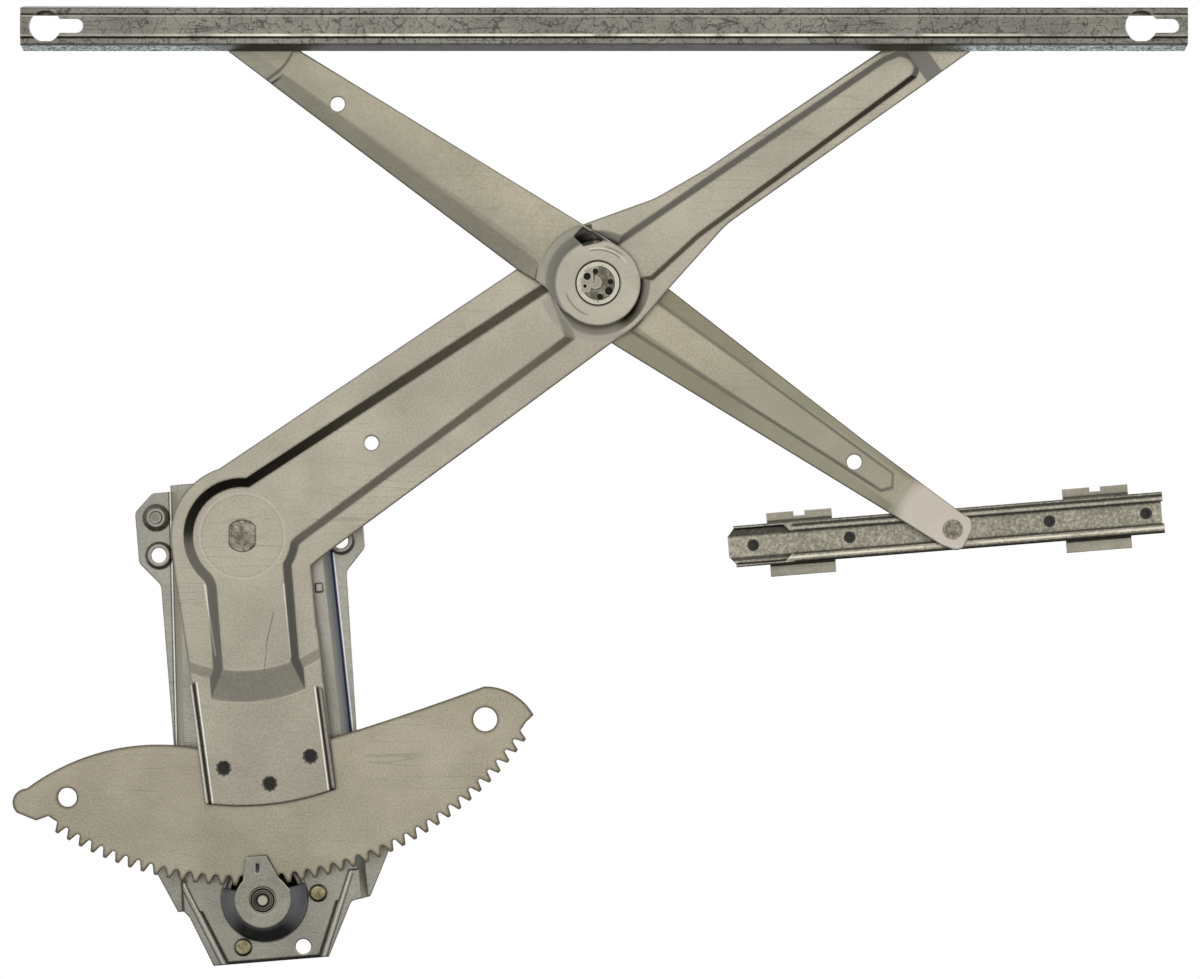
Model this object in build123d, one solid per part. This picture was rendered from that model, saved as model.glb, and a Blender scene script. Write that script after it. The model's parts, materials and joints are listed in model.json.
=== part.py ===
from build123d import *
import math
import os

os.makedirs("parts", exist_ok=True)

# Manual cross arm window regulator, seen from the glass side.
# Frame: X to the right, Z up, Y away from the viewer, in millimetres.
# The origin is the main pivot axis on the mounting plane of the base plate.
# Depths are Y values, so a smaller number is nearer to the glass.

# Reach of the shapes that only cut, beyond the part on every side
cut_back = 40.0
cut_front = -60.0
cut_reach = 600.0

# Linkage, from the centres of the pivots
arm_pitch = 218.54
arm_angle = 35.355
guide_pin_pitch = 216.4
guide_pin_angle = 34.70

# Depths of the layers, and the thickness of each sheet
panel_y = 0.0
base_sheet = 1.8
base_y = -10.0
arm_sheet = 2.0
arm_y = -20.0
recess_depth = 4.5
leg_y = -22.0
sector_sheet = 3.0
tip_y = -25.3
front_arm_y = -24.0
rear_arm_y = -12.5
cross_gap = 1.0
running_gap = 0.05
touch_gap = 0.1

# Base plate, drawn square to its own axes and turned about the main pivot
base_turn = 4.6
base_top = 28.2
base_wall_run = 4.6
wall_end = -186.5
base_bottom = -214.3
ear_hole_radius = 3.8
ear_boss_radius = 6.9
ear_boss_height = 2.6
side_ear_level = -6.5
left_ear_x = -43.6
right_ear_x = 48.3
stud_level = 12.6
strip_drop = 1.4
strip_lap = 1.5
fold_run = 1.6
stud_shrink = 0.9
tab_height = 22.2
hat_foot = [(-51.4, -260.0), (50.6, -260.0), (40.7, 90.0), (-32.2, 90.0)]
lower_ears = ((-57.0, -148.0), (60.0, -146.0))
fold_corners = ((-43.1, -171.5), (-25.4, 0.0), (21.9, 0.0), (39.5, -171.0))
lance_spots = ((36.0, -29.0), (-33.0, -27.5))
lance_size = (3.4, 4.2, 1.8)
bottom_hole = (30.25, -206.35)
bottom_hole_radius = 3.85

# Crank drive
pinion_centre = (10.85, -181.85)
gear_distance = math.hypot(*pinion_centre)
sector_teeth = 163
pinion_teeth = 9
gear_module = 2 * gear_distance / (sector_teeth + pinion_teeth)
dome_foot_radius = 22.0
dome_top_radius = 13.9
dome_y = -22.8
window_gap = 2.45
housing_lobe_radius = 5.4
housing_flange_radius = 23.5
rivet_circle = 27.0
housing_rivet_angles = (5.3, 125.8, 246.5)
housing_rivet_radius = 2.6
housing_head_radius = 4.5
housing_head_height = 2.2
housing_sheet = 1.5
housing_radius = 19.0
housing_depth = 17.0
spindle_radius = 4.2
spindle_plain_radius = 4.6
spindle_crest_radius = 4.4
spline_length = 9.0
spindle_end = 28.0
collar_radius = 5.1
nose_length = 4.0
spline_count = 24
spline_groove = 0.4
clutch_hub_radius = 13.4
spring_wire = 1.7
spring_pitch = 2.05
spring_turns = 5
pinion_bushing_radius = 6.7
journal_radius = 4.4

# Sector gear
first_tooth = -16
last_tooth = 23
first_hole = (-87.0, -130.65, 4.8)
second_hole = (121.85, -91.65, 6.0)

# Main arm
boss_radius = 35.5
recess_radius = 29.0
recess_wall = 4.4
narrow_wall = 2.4
cross_recess_radius = 26.0
step_radius = 67.5
ramp_end_radius = 83.0
flange_step_end = 73.0
leg_radius = 135.0
lip_height = 2.0
lip_sheet = 1.6
arm_hole = (64.75, 46.5, 3.5)
tip_start = 25.6
tip_flat = 17.6
post_right = 14.0
post_left = 8.0
leg_left = [(-17.45, -135.0), (-26.25, -64.85), (-32.5, -24.7)]
leg_right = (34.45, -15.15)
leg_right_low = (47.6, -128.5)
recess_leg = [(-18.6, -8.0), (-12.2, -90.0), (31.2, -90.0), (24.4, -8.0)]
rivet_places = ((18.58, -94.26), (10.43, -83.41), (19.59, -72.55))
rivet_radius = 3.0
rivet_head_height = 1.0

# Main pivot
pivot_radius = 7.0
pivot_flat = 6.35
pivot_stub_radius = 7.7
pivot_shoulder_radius = 12.0
bushing_wall = 1.8
bushing_flange = 1.0
bushing_flange_radius = 14.0
pivot_washer_radius = 12.5
pivot_washer_sheet = 1.5
pivot_head_radius = 8.6
pivot_head_height = 1.5

# Cross pivot and the second arm
disc_radius = 21.3
hub_radius = 11.25
washer_radius = 18.0
slope_steep_radius = 26.2
slope_steep_y = -22.9
slope_end_radius = 30.5
band_run = 8.1
band_drop = 1.5
tip_round = 28.0
front_hole = (48.35, -37.45, 3.65)
rear_hole = (-49.4, 33.75, 3.75)
rear_step = 31.9
rear_tip_rise = 0.85
hub_pit_radius = 8.5
hub_pit_depth = 0.6
hub_groove_inner = 10.7
hub_comma = ((-1.3, 4.2), (0.9, 3.0), (2.2, 0.6), (1.4, -2.0), (-1.3, -3.1), (-4.3, -2.2), (-4.1, -0.8),
             (-1.9, 0.2))
hub_shelf = ((-9.5, -5.0), (-4.0, -4.6), (-3.0, -1.0), (-2.0, 1.0), (-2.4, 4.6), (0.2, 6.6), (0.6, 9.5),
             (-9.5, 9.5))
hub_marks = ((-1.3, 5.9, 1.4), (-5.4, 3.4, 1.8), (-6.5, -1.5, 0.9), (6.3, 0.7, 1.4), (5.4, -3.9, 1.9),
             (1.0, -6.7, 1.5))

# Rollers and their studs
roller_radius = 8.0
guide_roller_radius = 8.9
roller_bore = 3.6
stud_radius = 4.9
stud_collar_radius = 6.2
stud_head_height = 1.3
roller_length = 6.6
guide_roller_length = 3.9
retaining_head = 0.9
stud_recess = 2.2
guide_roller_gap = 0.3

# Lift rail
rail_left = -108.0
rail_right = 470.5
rail_sheet = 1.4
rail_back = -26.0
rail_depth = 12.0
rail_band_height = 0.8
rail_band_half = 5.2
rail_half_front = 9.05
rail_half_back = 11.2
rail_lip_half = 6.4
keyholes = (rail_left + 12.5, rail_right - 23.1)
keyhole_radius = 7.9
keyhole_slot_end = 16.2
keyhole_slot_half = 3.5

# Guide rail and its brackets
guide_turn = 4.6
guide_left = -112.5
guide_right = 106.5
guide_half = 10.4
guide_sheet = 1.2
guide_front = -9.5
guide_depth = 8.0
guide_lip_half = 5.6
entry_length = 28.0
guide_clip = 3.2
bracket_edge = 5.6
bracket_sheet = 1.5
bracket_centres = (-75.6, 74.2)
bracket_half_length = 30.0
tab_half_length = 16.5
tab_drop = 2.0
tab_reach_up = 5.0
tab_reach_down = 6.4
notch_half = 2.8
notch_depth = 2.3
guide_rivet_radius = 1.9
guide_rivet_head = 2.9
guide_rivet_height = 0.5


def turned(x, z, degrees):
    """A point turned about the origin."""
    angle = math.radians(degrees)
    return (x * math.cos(angle) - z * math.sin(angle), x * math.sin(angle) + z * math.cos(angle))


def near(point, corners):
    """Corners given from a point, each with whatever follows its x and z."""
    return [(point[0] + x, point[1] + z, *rest) for x, z, *rest in corners]


cross_point = turned(arm_pitch, 0, arm_angle)
main_tip = turned(2 * arm_pitch, 0, arm_angle)
front_tip = (0.0, main_tip[1])
guide_offset = turned(guide_pin_pitch, 0, -guide_pin_angle)
guide_pin = near(cross_point, [guide_offset])[0]
rivet_points = [turned(leg_radius - inside, 0, direction) for inside, direction in rivet_places]

sector_pitch_radius = sector_teeth * gear_module / 2
sector_root_radius = sector_pitch_radius - 1.25 * gear_module
sector_tip_radius = sector_pitch_radius + gear_module
floor_y = arm_y + recess_depth
floor_back = floor_y + arm_sheet
disc_y = floor_y - cross_gap - arm_sheet
sector_back = leg_y + arm_sheet + sector_sheet
sector_front = leg_y + arm_sheet
base_back = base_y + base_sheet
flange_y = panel_y - base_sheet
strip_front = base_y + strip_drop
housing_back = base_back + housing_depth
rear_tip_y = rear_arm_y - rear_tip_rise
guide_seat = guide_front + guide_depth
guide_roller_front = guide_front + guide_sheet + guide_roller_gap
stud_front = rail_back - stud_recess
rail_roller_back = stud_front - touch_gap

# Outlines of the main arm, from the pivots that they run between
upper_edge = ([(-21.75, 26.5, 0)]
              + near(cross_point, [(-7.15, 29.45, 14), (28.5, 42.3, 40), (54.0, 56.95, 40)])
              + near(main_tip, [(-37.75, -11.05, 20), (-12.5, 5.1, 6)]))
lower_edge = (near(main_tip, [(8.0, 5.1, 6), (8.0, -10.9, 3), (-14.75, -27.0, 30)])
              + near(cross_point, [(64.25, 29.3, 40), (34.45, -3.9, 30), (24.4, -15.85, 24), (7.2, -29.7, 20)])
              + [(44.05, -7.5, 3)])
recess_inner_arm = ([(-2.0, 26.2), (12.0, -17.0), (25.75, -6.5)]
                    + near(cross_point, [(-11.25, -27.95), (-22.25, 3.05)]) + [(2.9, 29.35)])
recess_outer_arm = (near(cross_point, [(11.75, -1.45), (27.75, 1.55), (51.0, 22.85)])
                    + near(main_tip, [(-19.0, -23.6), (-16.9, -18.1), (-20.9, -11.7), (-27.5, -9.9),
                                      (-35.5, -13.3)])
                    + near(cross_point, [(40.0, 42.75), (7.75, 20.55)]))

# Outlines of the second arm
front_lower = near(front_tip, [(-6.55, -11.4)]) + near(cross_point, [(-28.2, -0.55)])
front_outline = (near(front_tip, [(-9.5, -2.9, 5), (-7.2, -10.4, 4)])
                 + near(cross_point, [(-39.75, 6.15, 12), (-26.25, -1.95, 10), (-14.25, -17.95, 8),
                                      (0.0, -12.0, 6), (11.75, 17.75, 1), (-7.8, 29.3, 3)])
                 + near(front_tip, [(31.65, -12.05, 20), (6.0, 4.6, 5), (-4.0, 6.6, 6)]))
front_opening = near(cross_point, [(-7.7, 27.9, 0.3), (-12.3, 23.1, 0.8), (-7.1, 18.7, 0.5), (2.8, 21.2, 0.3)])
rear_outline = (near(cross_point, [(-6.0, -22.0, 8)])
                + near(guide_pin, [(-31.26, 7.9, 10), (-5.56, -8.15, 5), (1.34, -10.65, 4), (5.24, -9.55, 3),
                                   (9.84, -0.25, 4), (9.44, 5.35, 4), (4.14, 8.4, 4), (-44.66, 44.75, 30)])
                + near(cross_point, [(22.0, 8.0, 10), (-5.0, 20.0, 10)]))


def front_plane(depth):
    """Drawing plane at a depth, with its normal towards the glass."""
    return Plane.XZ.offset(-depth)


def slab(sketch, back, front):
    """Flat piece between two depths."""
    return extrude(front_plane(back) * sketch, amount=back - front)


def rod(point, radius, back, front):
    """Round piece along Y."""
    return slab(Pos(point[0], point[1]) * Circle(radius), back, front)


def frustum(point, back_radius, front_radius, back, front):
    """Round tapered piece along Y."""
    shape = Cone(back_radius, front_radius, back - front, align=(Align.CENTER, Align.CENTER, Align.MIN))
    return front_plane(back) * Pos(point[0], point[1], 0) * shape


def outline(corners):
    """Closed outline with straight sides."""
    return make_face(Polyline(*corners, close=True))


def soft_outline(corners):
    """Closed outline through corners given as x, z and the radius of the corner."""
    stops = []
    for i, (x, z, radius) in enumerate(corners):
        here = Vector(x, z)
        if radius == 0:
            stops.append((here, here, here, radius))
            continue
        before = (Vector(*corners[i - 1][:2]) - here).normalized()
        after = (Vector(*corners[(i + 1) % len(corners)][:2]) - here).normalized()
        half = math.radians(before.get_angle(after)) / 2
        reach = radius / math.tan(half)
        inward = (before + after).normalized() * (radius / math.sin(half) - radius)
        stops.append((here + before * reach, here + inward, here + after * reach, radius))
    edges = []
    for i, (start, middle, end, radius) in enumerate(stops):
        if radius > 0:
            edges.append(ThreePointArc(start, middle, end))
        following = stops[(i + 1) % len(stops)][0]
        if (following - end).length > 0.001:
            edges.append(Line(end, following))
    return make_face(edges)


def inset(corners, distance):
    """Corners of a convex outline, listed anticlockwise, with each side moved inwards."""
    moved = []
    for i, corner in enumerate(corners):
        before = Vector(*corner) - Vector(*corners[i - 1])
        after = Vector(*corners[(i + 1) % len(corners)]) - Vector(*corner)
        before = before.normalized()
        after = after.normalized()
        turn = before.X * after.Y - before.Y * after.X
        shift = (after - before) * (distance / turn)
        moved.append((corner[0] + shift.X, corner[1] + shift.Y))
    return moved


def tapered(corners, back, front, run, widest_front=True):
    """Prism of a convex outline whose sides slope in by run from the widest end."""
    wide = outline(corners)
    narrow = outline(inset(corners, run))
    back_face, front_face = (narrow, wide) if widest_front else (wide, narrow)
    return loft([front_plane(back) * back_face, front_plane(front) * front_face], ruled=True)


def bore(point, radius):
    """Round hole right through."""
    return rod(point, radius, cut_back, cut_front)


def through(sketch):
    """Everything behind and in front of a sketch."""
    return slab(sketch, cut_back, cut_front)


def ring(point, outer, inner, back, front):
    """Flat ring between two depths."""
    return rod(point, outer, back, front) - rod(point, inner, back + 1, front - 1)


def placed(point, turn):
    """Location of a piece drawn in its own turned frame."""
    return Location((point[0], 0, point[1]), (0, -turn, 0))


def fuse(first, others):
    """One shape from several."""
    result = first
    for other in others:
        result = result + other
    return result


# Base plate and what is fixed to it

base_spot = placed((0, 0), base_turn)


def base_point(x, z):
    """A point of the base plate in the frame of the whole regulator."""
    return turned(x, z, base_turn)


pinion_local = turned(pinion_centre[0], pinion_centre[1], -base_turn)
bottom_hole_local = turned(bottom_hole[0], bottom_hole[1], -base_turn)
fold_outer = [(x, z or base_bottom) for x, z in fold_corners]


def hat_solid(shift):
    """The raised middle of the base plate, as a solid moved back by shift."""
    inner = inset(hat_foot, shift)
    whole = tapered(inner, panel_y, base_y + shift, base_wall_run, widest_front=False)
    return whole & through(level_band(wall_end, base_top))


def level_band(low, high):
    """Everything between two levels."""
    return outline([(-cut_reach, low), (cut_reach, low), (cut_reach, high), (-cut_reach, high)])


def base_flange_sketch():
    """Outline of the side flanges with the ears for the door panel."""
    return soft_outline([
        (-34.0, 25.0, 0), (-44.6, 25.0, 3), (-54.1, 16.0, 4), (-54.1, -9.5, 5), (-44.0, -21.5, 5),
        (-44.0, -104.0, 8), (-63.5, -142.0, 7), (-63.5, -153.0, 6), (-48.6, wall_end, 0),
        (48.6, wall_end, 2), (66.5, -151.0, 7), (66.5, -140.0, 7), (48.4, -104.0, 8),
        (49.8, -22.0, 5), (60.0, -11.0, 4), (60.0, 3.0, 7), (50.0, 10.0, 5), (38.0, 25.0, 0),
    ])


def base_flanges():
    """Side flanges, open in the middle where the hat rises."""
    flange = slab(base_flange_sketch(), panel_y, flange_y)
    clear = tapered(inset(hat_foot, base_sheet), 1.0, base_y, base_wall_run, widest_front=False)
    return flange - clear


def base_foot():
    """Narrowing foot of the base plate with a stepped strip along each side."""
    strip_back = strip_front + base_sheet
    edge = soft_outline([
        (-44.5, -171.5, 0), (-44.5, wall_end, 0), (-42.3, -189.0, 3), (-32.2, base_bottom, 0),
        (25.9, base_bottom, 0), (39.5, -187.2, 3), (44.5, wall_end, 0), (44.5, -171.5, 0)])
    narrowed = 1 - 2 * strip_lap / (fold_outer[3][0] - fold_outer[0][0])
    lapped = outline([(x * narrowed, z) for x, z in fold_outer])
    ramp = tapered(fold_outer, strip_front, base_y, fold_run, widest_front=False)
    middle = ramp + slab(outline(fold_outer), base_back, strip_front)
    strips = slab(edge, strip_back, strip_front) - slab(lapped, strip_back + 1, base_back)
    cleared = slab(edge - outline(fold_outer), strip_back, base_y - 1)
    return middle + strips, cleared


def boss_ring(point, hole_radius):
    """Raised cone round a hole in an ear, with its hollow back."""
    outer = frustum(point, ear_boss_radius, hole_radius + base_sheet, flange_y, flange_y - ear_boss_height)
    inner = frustum(point, ear_boss_radius - base_sheet, hole_radius, panel_y,
                    flange_y - ear_boss_height + base_sheet)
    return outer, inner + bore(point, hole_radius)


def dome_shell():
    """Drawn dome that carries the outer end of the pinion."""
    spot = pinion_local
    outer = frustum(spot, dome_foot_radius, dome_top_radius, base_y, dome_y)
    inner = frustum(spot, dome_foot_radius - base_sheet, dome_top_radius - base_sheet,
                    base_y, dome_y + base_sheet)
    return outer - inner


def tab_sketch():
    """Top of the dome with the finger that holds the sector in mesh."""
    x, z = pinion_local
    finger = soft_outline([
        (x - 14.5, z + 1.5, 1), (x - 9.2, z + 10.0, 6), (x - 6.6, z + tab_height, 0.8),
        (x + 3.6, z + tab_height, 0.8), (x + 8.6, z + 11.2, 5), (x + 14.3, z + 4.0, 1), (x + 8.0, z - 8.0, 1),
        (x - 8.0, z - 8.0, 1)])
    return finger + Pos(x, z) * Circle(dome_top_radius)


def base_dome():
    """Dome with its finger, open over the sector, and the ring that joins it to the plate."""
    x, z = pinion_local
    sweep = base_spot.inverse() * rod((0, 0), sector_tip_radius + window_gap, base_y - 0.6, dome_y - 1)
    joint = ring(pinion_local, dome_foot_radius + 0.5, dome_foot_radius - base_sheet, base_back, base_y)
    tab = slab(tab_sketch(), dome_y + base_sheet, dome_y)
    dimple = slab(Pos(x - 1.3, z + 16.2) * SlotOverall(4.6, 1.8, rotation=84), dome_y + 0.7, dome_y - 1)
    return joint + (dome_shell() - sweep) + (tab - dimple)


def base_lances():
    """Two small tongues pushed out of the hat beside the arm."""
    width, height, rise = lance_size
    tongues = [slab(Pos(*spot) * Rectangle(width, height), base_y, base_y - rise) for spot in lance_spots]
    return tongues[0] + tongues[1]


def base_holes():
    """Holes through the hat and the dome."""
    holes = rod(pinion_local, pinion_bushing_radius, dome_y + 4, cut_front)
    holes = holes + bore(bottom_hole_local, bottom_hole_radius)
    for angle in housing_rivet_angles:
        holes = holes + bore(turned(*housing_rivet_point(angle), -base_turn), housing_rivet_radius)
    return holes + bore((0, 0), pivot_radius + running_gap + bushing_wall)


def make_base_plate():
    """Hat shaped plate with flanges, ears, dome and holes."""
    hat = hat_solid(0) - hat_solid(base_sheet)
    foot, foot_space = base_foot()
    walls = slab(level_band(wall_end, 0), panel_y, base_y)
    hat_top = slab(outline(hat_foot), base_back, base_y)
    sheet = hat - (foot_space & hat_top & walls) + base_flanges() + foot + base_lances()
    bosses = [((left_ear_x, side_ear_level), ear_hole_radius), ((right_ear_x, side_ear_level), ear_hole_radius),
              ((left_ear_x, stud_level), ear_hole_radius - stud_shrink)]
    bosses += [(spot, ear_hole_radius) for spot in lower_ears]
    for spot, radius in bosses:
        added, removed = boss_ring(spot, radius)
        sheet = sheet + added - removed
    sheet = sheet - rod(pinion_local, dome_foot_radius - base_sheet, base_back + 1, base_y - 1)
    return base_spot * (sheet + base_dome() - base_holes())


def housing_rivet_point(angle):
    """Centre of a clutch housing rivet."""
    spread = turned(rivet_circle, 0, angle)
    return near(pinion_centre, [spread])[0]


def make_pivot_bushing():
    """Flanged bushing of the main pivot."""
    outer = pivot_radius + running_gap + bushing_wall
    body = rod((0, 0), outer, base_back, base_y)
    flange = rod((0, 0), bushing_flange_radius, base_y, base_y - bushing_flange)
    return body + flange - bore((0, 0), pivot_radius + running_gap)


def make_pinion_bushing():
    """Ring that carries the outer journal of the pinion in the dome."""
    body = rod(pinion_centre, pinion_bushing_radius, dome_y + base_sheet, dome_y)
    groove = ring(pinion_centre, pinion_bushing_radius - 0.6, journal_radius + 0.9, dome_y + 0.5, dome_y - 1)
    return body - groove - bore(pinion_centre, journal_radius + running_gap)


def make_clutch_housing():
    """Cup behind the base plate that holds the wrap spring."""
    flange = rod(pinion_centre, housing_flange_radius, base_back + housing_sheet, base_back)
    for angle in housing_rivet_angles:
        spot = housing_rivet_point(angle)
        flange = flange + rod(spot, housing_lobe_radius, base_back + housing_sheet, base_back)
    cup = rod(pinion_centre, housing_radius, housing_back, base_back)
    hollow = rod(pinion_centre, housing_radius - housing_sheet, housing_back - housing_sheet, base_back - 1)
    nose = rod(pinion_centre, spindle_radius + 4.0, housing_back + nose_length, housing_back - 0.5)
    shell = flange + cup + nose - hollow
    shell = shell - rod(pinion_centre, collar_radius + running_gap, cut_back, panel_y)
    for angle in housing_rivet_angles:
        shell = shell - bore(housing_rivet_point(angle), housing_rivet_radius)
    return shell


def make_housing_rivets():
    """Three domed rivets that hold the clutch housing."""
    rivets = []
    for angle in housing_rivet_angles:
        spot = housing_rivet_point(angle)
        shank = rod(spot, housing_rivet_radius, base_back + housing_sheet, base_y)
        head = rod(spot, housing_head_radius, base_y, base_y - housing_head_height)
        top = head.edges().sort_by(Axis.Y)[0]
        head = fillet(top, housing_head_height * 0.75)
        tail = rod(spot, housing_rivet_radius + 1.2, base_back + housing_sheet + 1.2, base_back + housing_sheet)
        rivets.append(shank + head + tail)
    return Compound(children=rivets)


def make_ear_stud():
    """Fixing stud pressed into the upper ear, with its thread behind the panel."""
    spot = base_point(left_ear_x, stud_level)
    radius = ear_hole_radius - stud_shrink
    shank = rod(spot, radius, panel_y + 14.0, flange_y - ear_boss_height - 0.9)
    collar = rod(spot, radius + 1.9, panel_y + 1.2, panel_y)
    end = shank.edges().sort_by(Axis.Y)[-1]
    return chamfer(end, 0.6) + collar


# Sector and pinion

def sector_tooth(angle):
    """One tooth of the sector, centred on an angle."""
    half = math.pi * gear_module / 4 - 0.06
    slope = math.tan(math.radians(20))
    root = sector_root_radius
    tip = sector_tip_radius
    low = half + (sector_pitch_radius - root + 0.6) * slope
    high = half - (tip - sector_pitch_radius) * slope
    tooth = soft_outline([(root - 0.6, -low, 0), (tip, -high, 0.5), (tip, high, 0.5), (root - 0.6, low, 0)])
    return Rot(0, 0, angle) * tooth


def mesh_angle():
    """Direction from the main pivot to the pinion."""
    return math.degrees(math.atan2(pinion_centre[1], pinion_centre[0]))


def sector_body():
    """Sector blank below the leg, without teeth."""
    root = sector_root_radius
    pitch_angle = 360 / sector_teeth
    start = mesh_angle() + (first_tooth - 1.2) * pitch_angle
    stop = mesh_angle() + (last_tooth + 1.2) * pitch_angle
    left_root = turned(root, 0, start)
    right_root = turned(root, 0, stop)
    bottom = turned(root, 0, (start + stop) / 2)
    edges = [
        ThreePointArc(left_root, bottom, right_root),
        Line(right_root, (146.0, -89.5)),
        ThreePointArc((146.0, -89.5), (137.0, -79.8), (121.5, -75.2)),
        ThreePointArc((121.5, -75.2), (84.5, -88.3), (45.0, -101.0)),
        Line((45.0, -101.0), (-21.2, -106.2)),
        ThreePointArc((-21.2, -106.2), (-69.0, -107.8), (-107.5, -126.3)),
        ThreePointArc((-107.5, -126.3), (-114.3, -134.2), (-112.0, -138.4)),
        Line((-112.0, -138.4), (-102.6, -142.2)),
        Line((-102.6, -142.2), left_root),
    ]
    return make_face(edges)


def make_sector_gear():
    """Toothed sector with its two tooling holes."""
    shape = sector_body()
    for k in range(first_tooth, last_tooth + 1):
        shape = shape + sector_tooth(mesh_angle() + k * 360 / sector_teeth)
    for x, z, radius in (first_hole, second_hole):
        shape = shape - Pos(x, z) * Circle(radius)
    for spot in rivet_points:
        shape = shape - Pos(*spot) * Circle(rivet_radius)
    return slab(shape, sector_back, sector_front)


def make_sector_rivets():
    """Three rivets, sunk at the front, that hold the sector to the leg."""
    rivets = []
    for spot in rivet_points:
        shank = rod(spot, rivet_radius, sector_back, leg_y)
        head = rod(spot, rivet_radius + 1.0, sector_back + rivet_head_height, sector_back)
        groove = ring(spot, rivet_radius - 0.7, rivet_radius - 1.8, leg_y + 0.7, leg_y - 1)
        centre = rod(spot, rivet_radius - 1.8, leg_y + 0.2, leg_y - 1)
        rivets.append(shank + head - groove - centre)
    return Compound(children=rivets)


def pinion_sketch():
    """Nine slim teeth, narrow at the root so that the sector can run through them."""
    pitch = pinion_teeth * gear_module / 2
    root = pitch - 1.3 * gear_module
    tip = pitch + 0.9 * gear_module
    shape = Circle(root)
    for k in range(pinion_teeth):
        angle = mesh_angle() + 180 + (k + 0.5) * 360 / pinion_teeth
        side = [(root - 1.0, 1.1), (pitch - 0.9, 1.25), (pitch, 1.2), (pitch + 1.0, 0.85), (tip, 0.4)]
        tooth = outline([(x, -z) for x, z in side] + side[::-1])
        shape = shape + Rot(0, 0, angle) * tooth
    return Pos(*pinion_centre) * shape


def make_pinion():
    """Pinion with its journal in the dome and its tail in the clutch."""
    teeth = slab(pinion_sketch(), sector_back + 2.5, dome_y + base_sheet + 0.3)
    journal = rod(pinion_centre, journal_radius, dome_y + base_sheet + 1, dome_y)
    groove = ring(pinion_centre, journal_radius - 0.7, journal_radius - 1.8, dome_y + 0.6, dome_y - 1)
    tail = rod(pinion_centre, pinion_bushing_radius - 0.1, base_back + 2.0, sector_back + 2.0)
    return teeth + journal + tail - groove


def make_clutch_hub():
    """Hub inside the wrap spring, carried on the crank shaft."""
    hub = rod(pinion_centre, clutch_hub_radius, housing_back - housing_sheet - 0.5, base_back + 2.0)
    return hub - rod(pinion_centre, spindle_radius, cut_back, base_back + 1)


def make_wrap_spring():
    """Coiled brake spring between the hub and the housing."""
    middle = (clutch_hub_radius + housing_radius - housing_sheet) / 2
    path = Helix(pitch=spring_pitch, height=spring_pitch * spring_turns, radius=middle)
    section = Plane(origin=path @ 0, z_dir=path % 0) * Circle(spring_wire / 2)
    coil = sweep(section, path=path)
    start = housing_back - housing_sheet - spring_wire + 0.1
    return front_plane(start) * Pos(pinion_centre[0], pinion_centre[1], 0) * coil


def make_crank_shaft():
    """Spindle that the crank handle fits, with a splined free end."""
    collar_end = housing_back + nose_length
    spline_start = spindle_end - spline_length
    shaft = rod(pinion_centre, spindle_radius, collar_end, base_back + 2.0)
    collar = rod(pinion_centre, collar_radius, collar_end, housing_back - housing_sheet - 0.4)
    plain = rod(pinion_centre, spindle_plain_radius, spline_start, collar_end)
    splined = rod(pinion_centre, spindle_crest_radius, spindle_end, spline_start)
    for k in range(spline_count):
        point = turned(spindle_crest_radius, 0, k * 360 / spline_count)
        spot = near(pinion_centre, [point])[0]
        splined = splined - rod(spot, spline_groove, spindle_end + 1, spline_start)
    return shaft + collar + plain + splined


# Main arm

def main_arm_sketch():
    """Outline of the long arm and the boss, at the flange level."""
    arm = soft_outline(upper_edge + lower_edge + [(15.0, -20.0, 0), (-30.0, 0.0, 0)])
    leg = outline([leg_left[1], leg_left[2], (-34.9, -6.5), (0, 20), (38, 8), (44.05, -7.5), leg_right,
                   (39.5, -66.0)])
    return Circle(boss_radius) + arm + leg


def unit(start, end):
    """Direction from one point to another."""
    length = math.dist(start, end)
    return ((end[0] - start[0]) / length, (end[1] - start[1]) / length)


def meeting(start, ahead, other, aside):
    """Point where two lines meet, each from a point and a direction."""
    turn = ahead[0] * aside[1] - ahead[1] * aside[0]
    reach = ((other[0] - start[0]) * aside[1] - (other[1] - start[1]) * aside[0]) / turn
    return (start[0] + ahead[0] * reach, start[1] + ahead[1] * reach)


def right_post():
    """Centre and both tangent points of the rounded flange between the arm and the leg."""
    along = unit(recess_inner_arm[2], recess_inner_arm[3])
    down = unit(recess_leg[3], recess_leg[2])
    corner = meeting(recess_inner_arm[2], along, recess_leg[3], down)
    half = math.acos(along[0] * down[0] + along[1] * down[1]) / 2
    reach = post_right / math.tan(half)
    first = (corner[0] + along[0] * reach, corner[1] + along[1] * reach)
    second = (corner[0] + down[0] * reach, corner[1] + down[1] * reach)
    return (first[0] + along[1] * post_right, first[1] - along[0] * post_right), first, second


def left_post():
    """Centre and both tangent points of the rounded flange between the boss and the leg."""
    down = unit(recess_leg[0], recess_leg[1])
    start = (recess_leg[0][0] + down[1] * post_left, recess_leg[0][1] - down[0] * post_left)
    ahead = start[0] * down[0] + start[1] * down[1]
    spread = (recess_radius + post_left) ** 2 - start[0] ** 2 - start[1] ** 2
    reach = math.sqrt(ahead ** 2 + spread) - ahead
    centre = (start[0] + down[0] * reach, start[1] + down[1] * reach)
    share = recess_radius / (recess_radius + post_left)
    second = (centre[0] - down[1] * post_left, centre[1] + down[0] * post_left)
    return centre, (centre[0] * share, centre[1] * share), second


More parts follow.
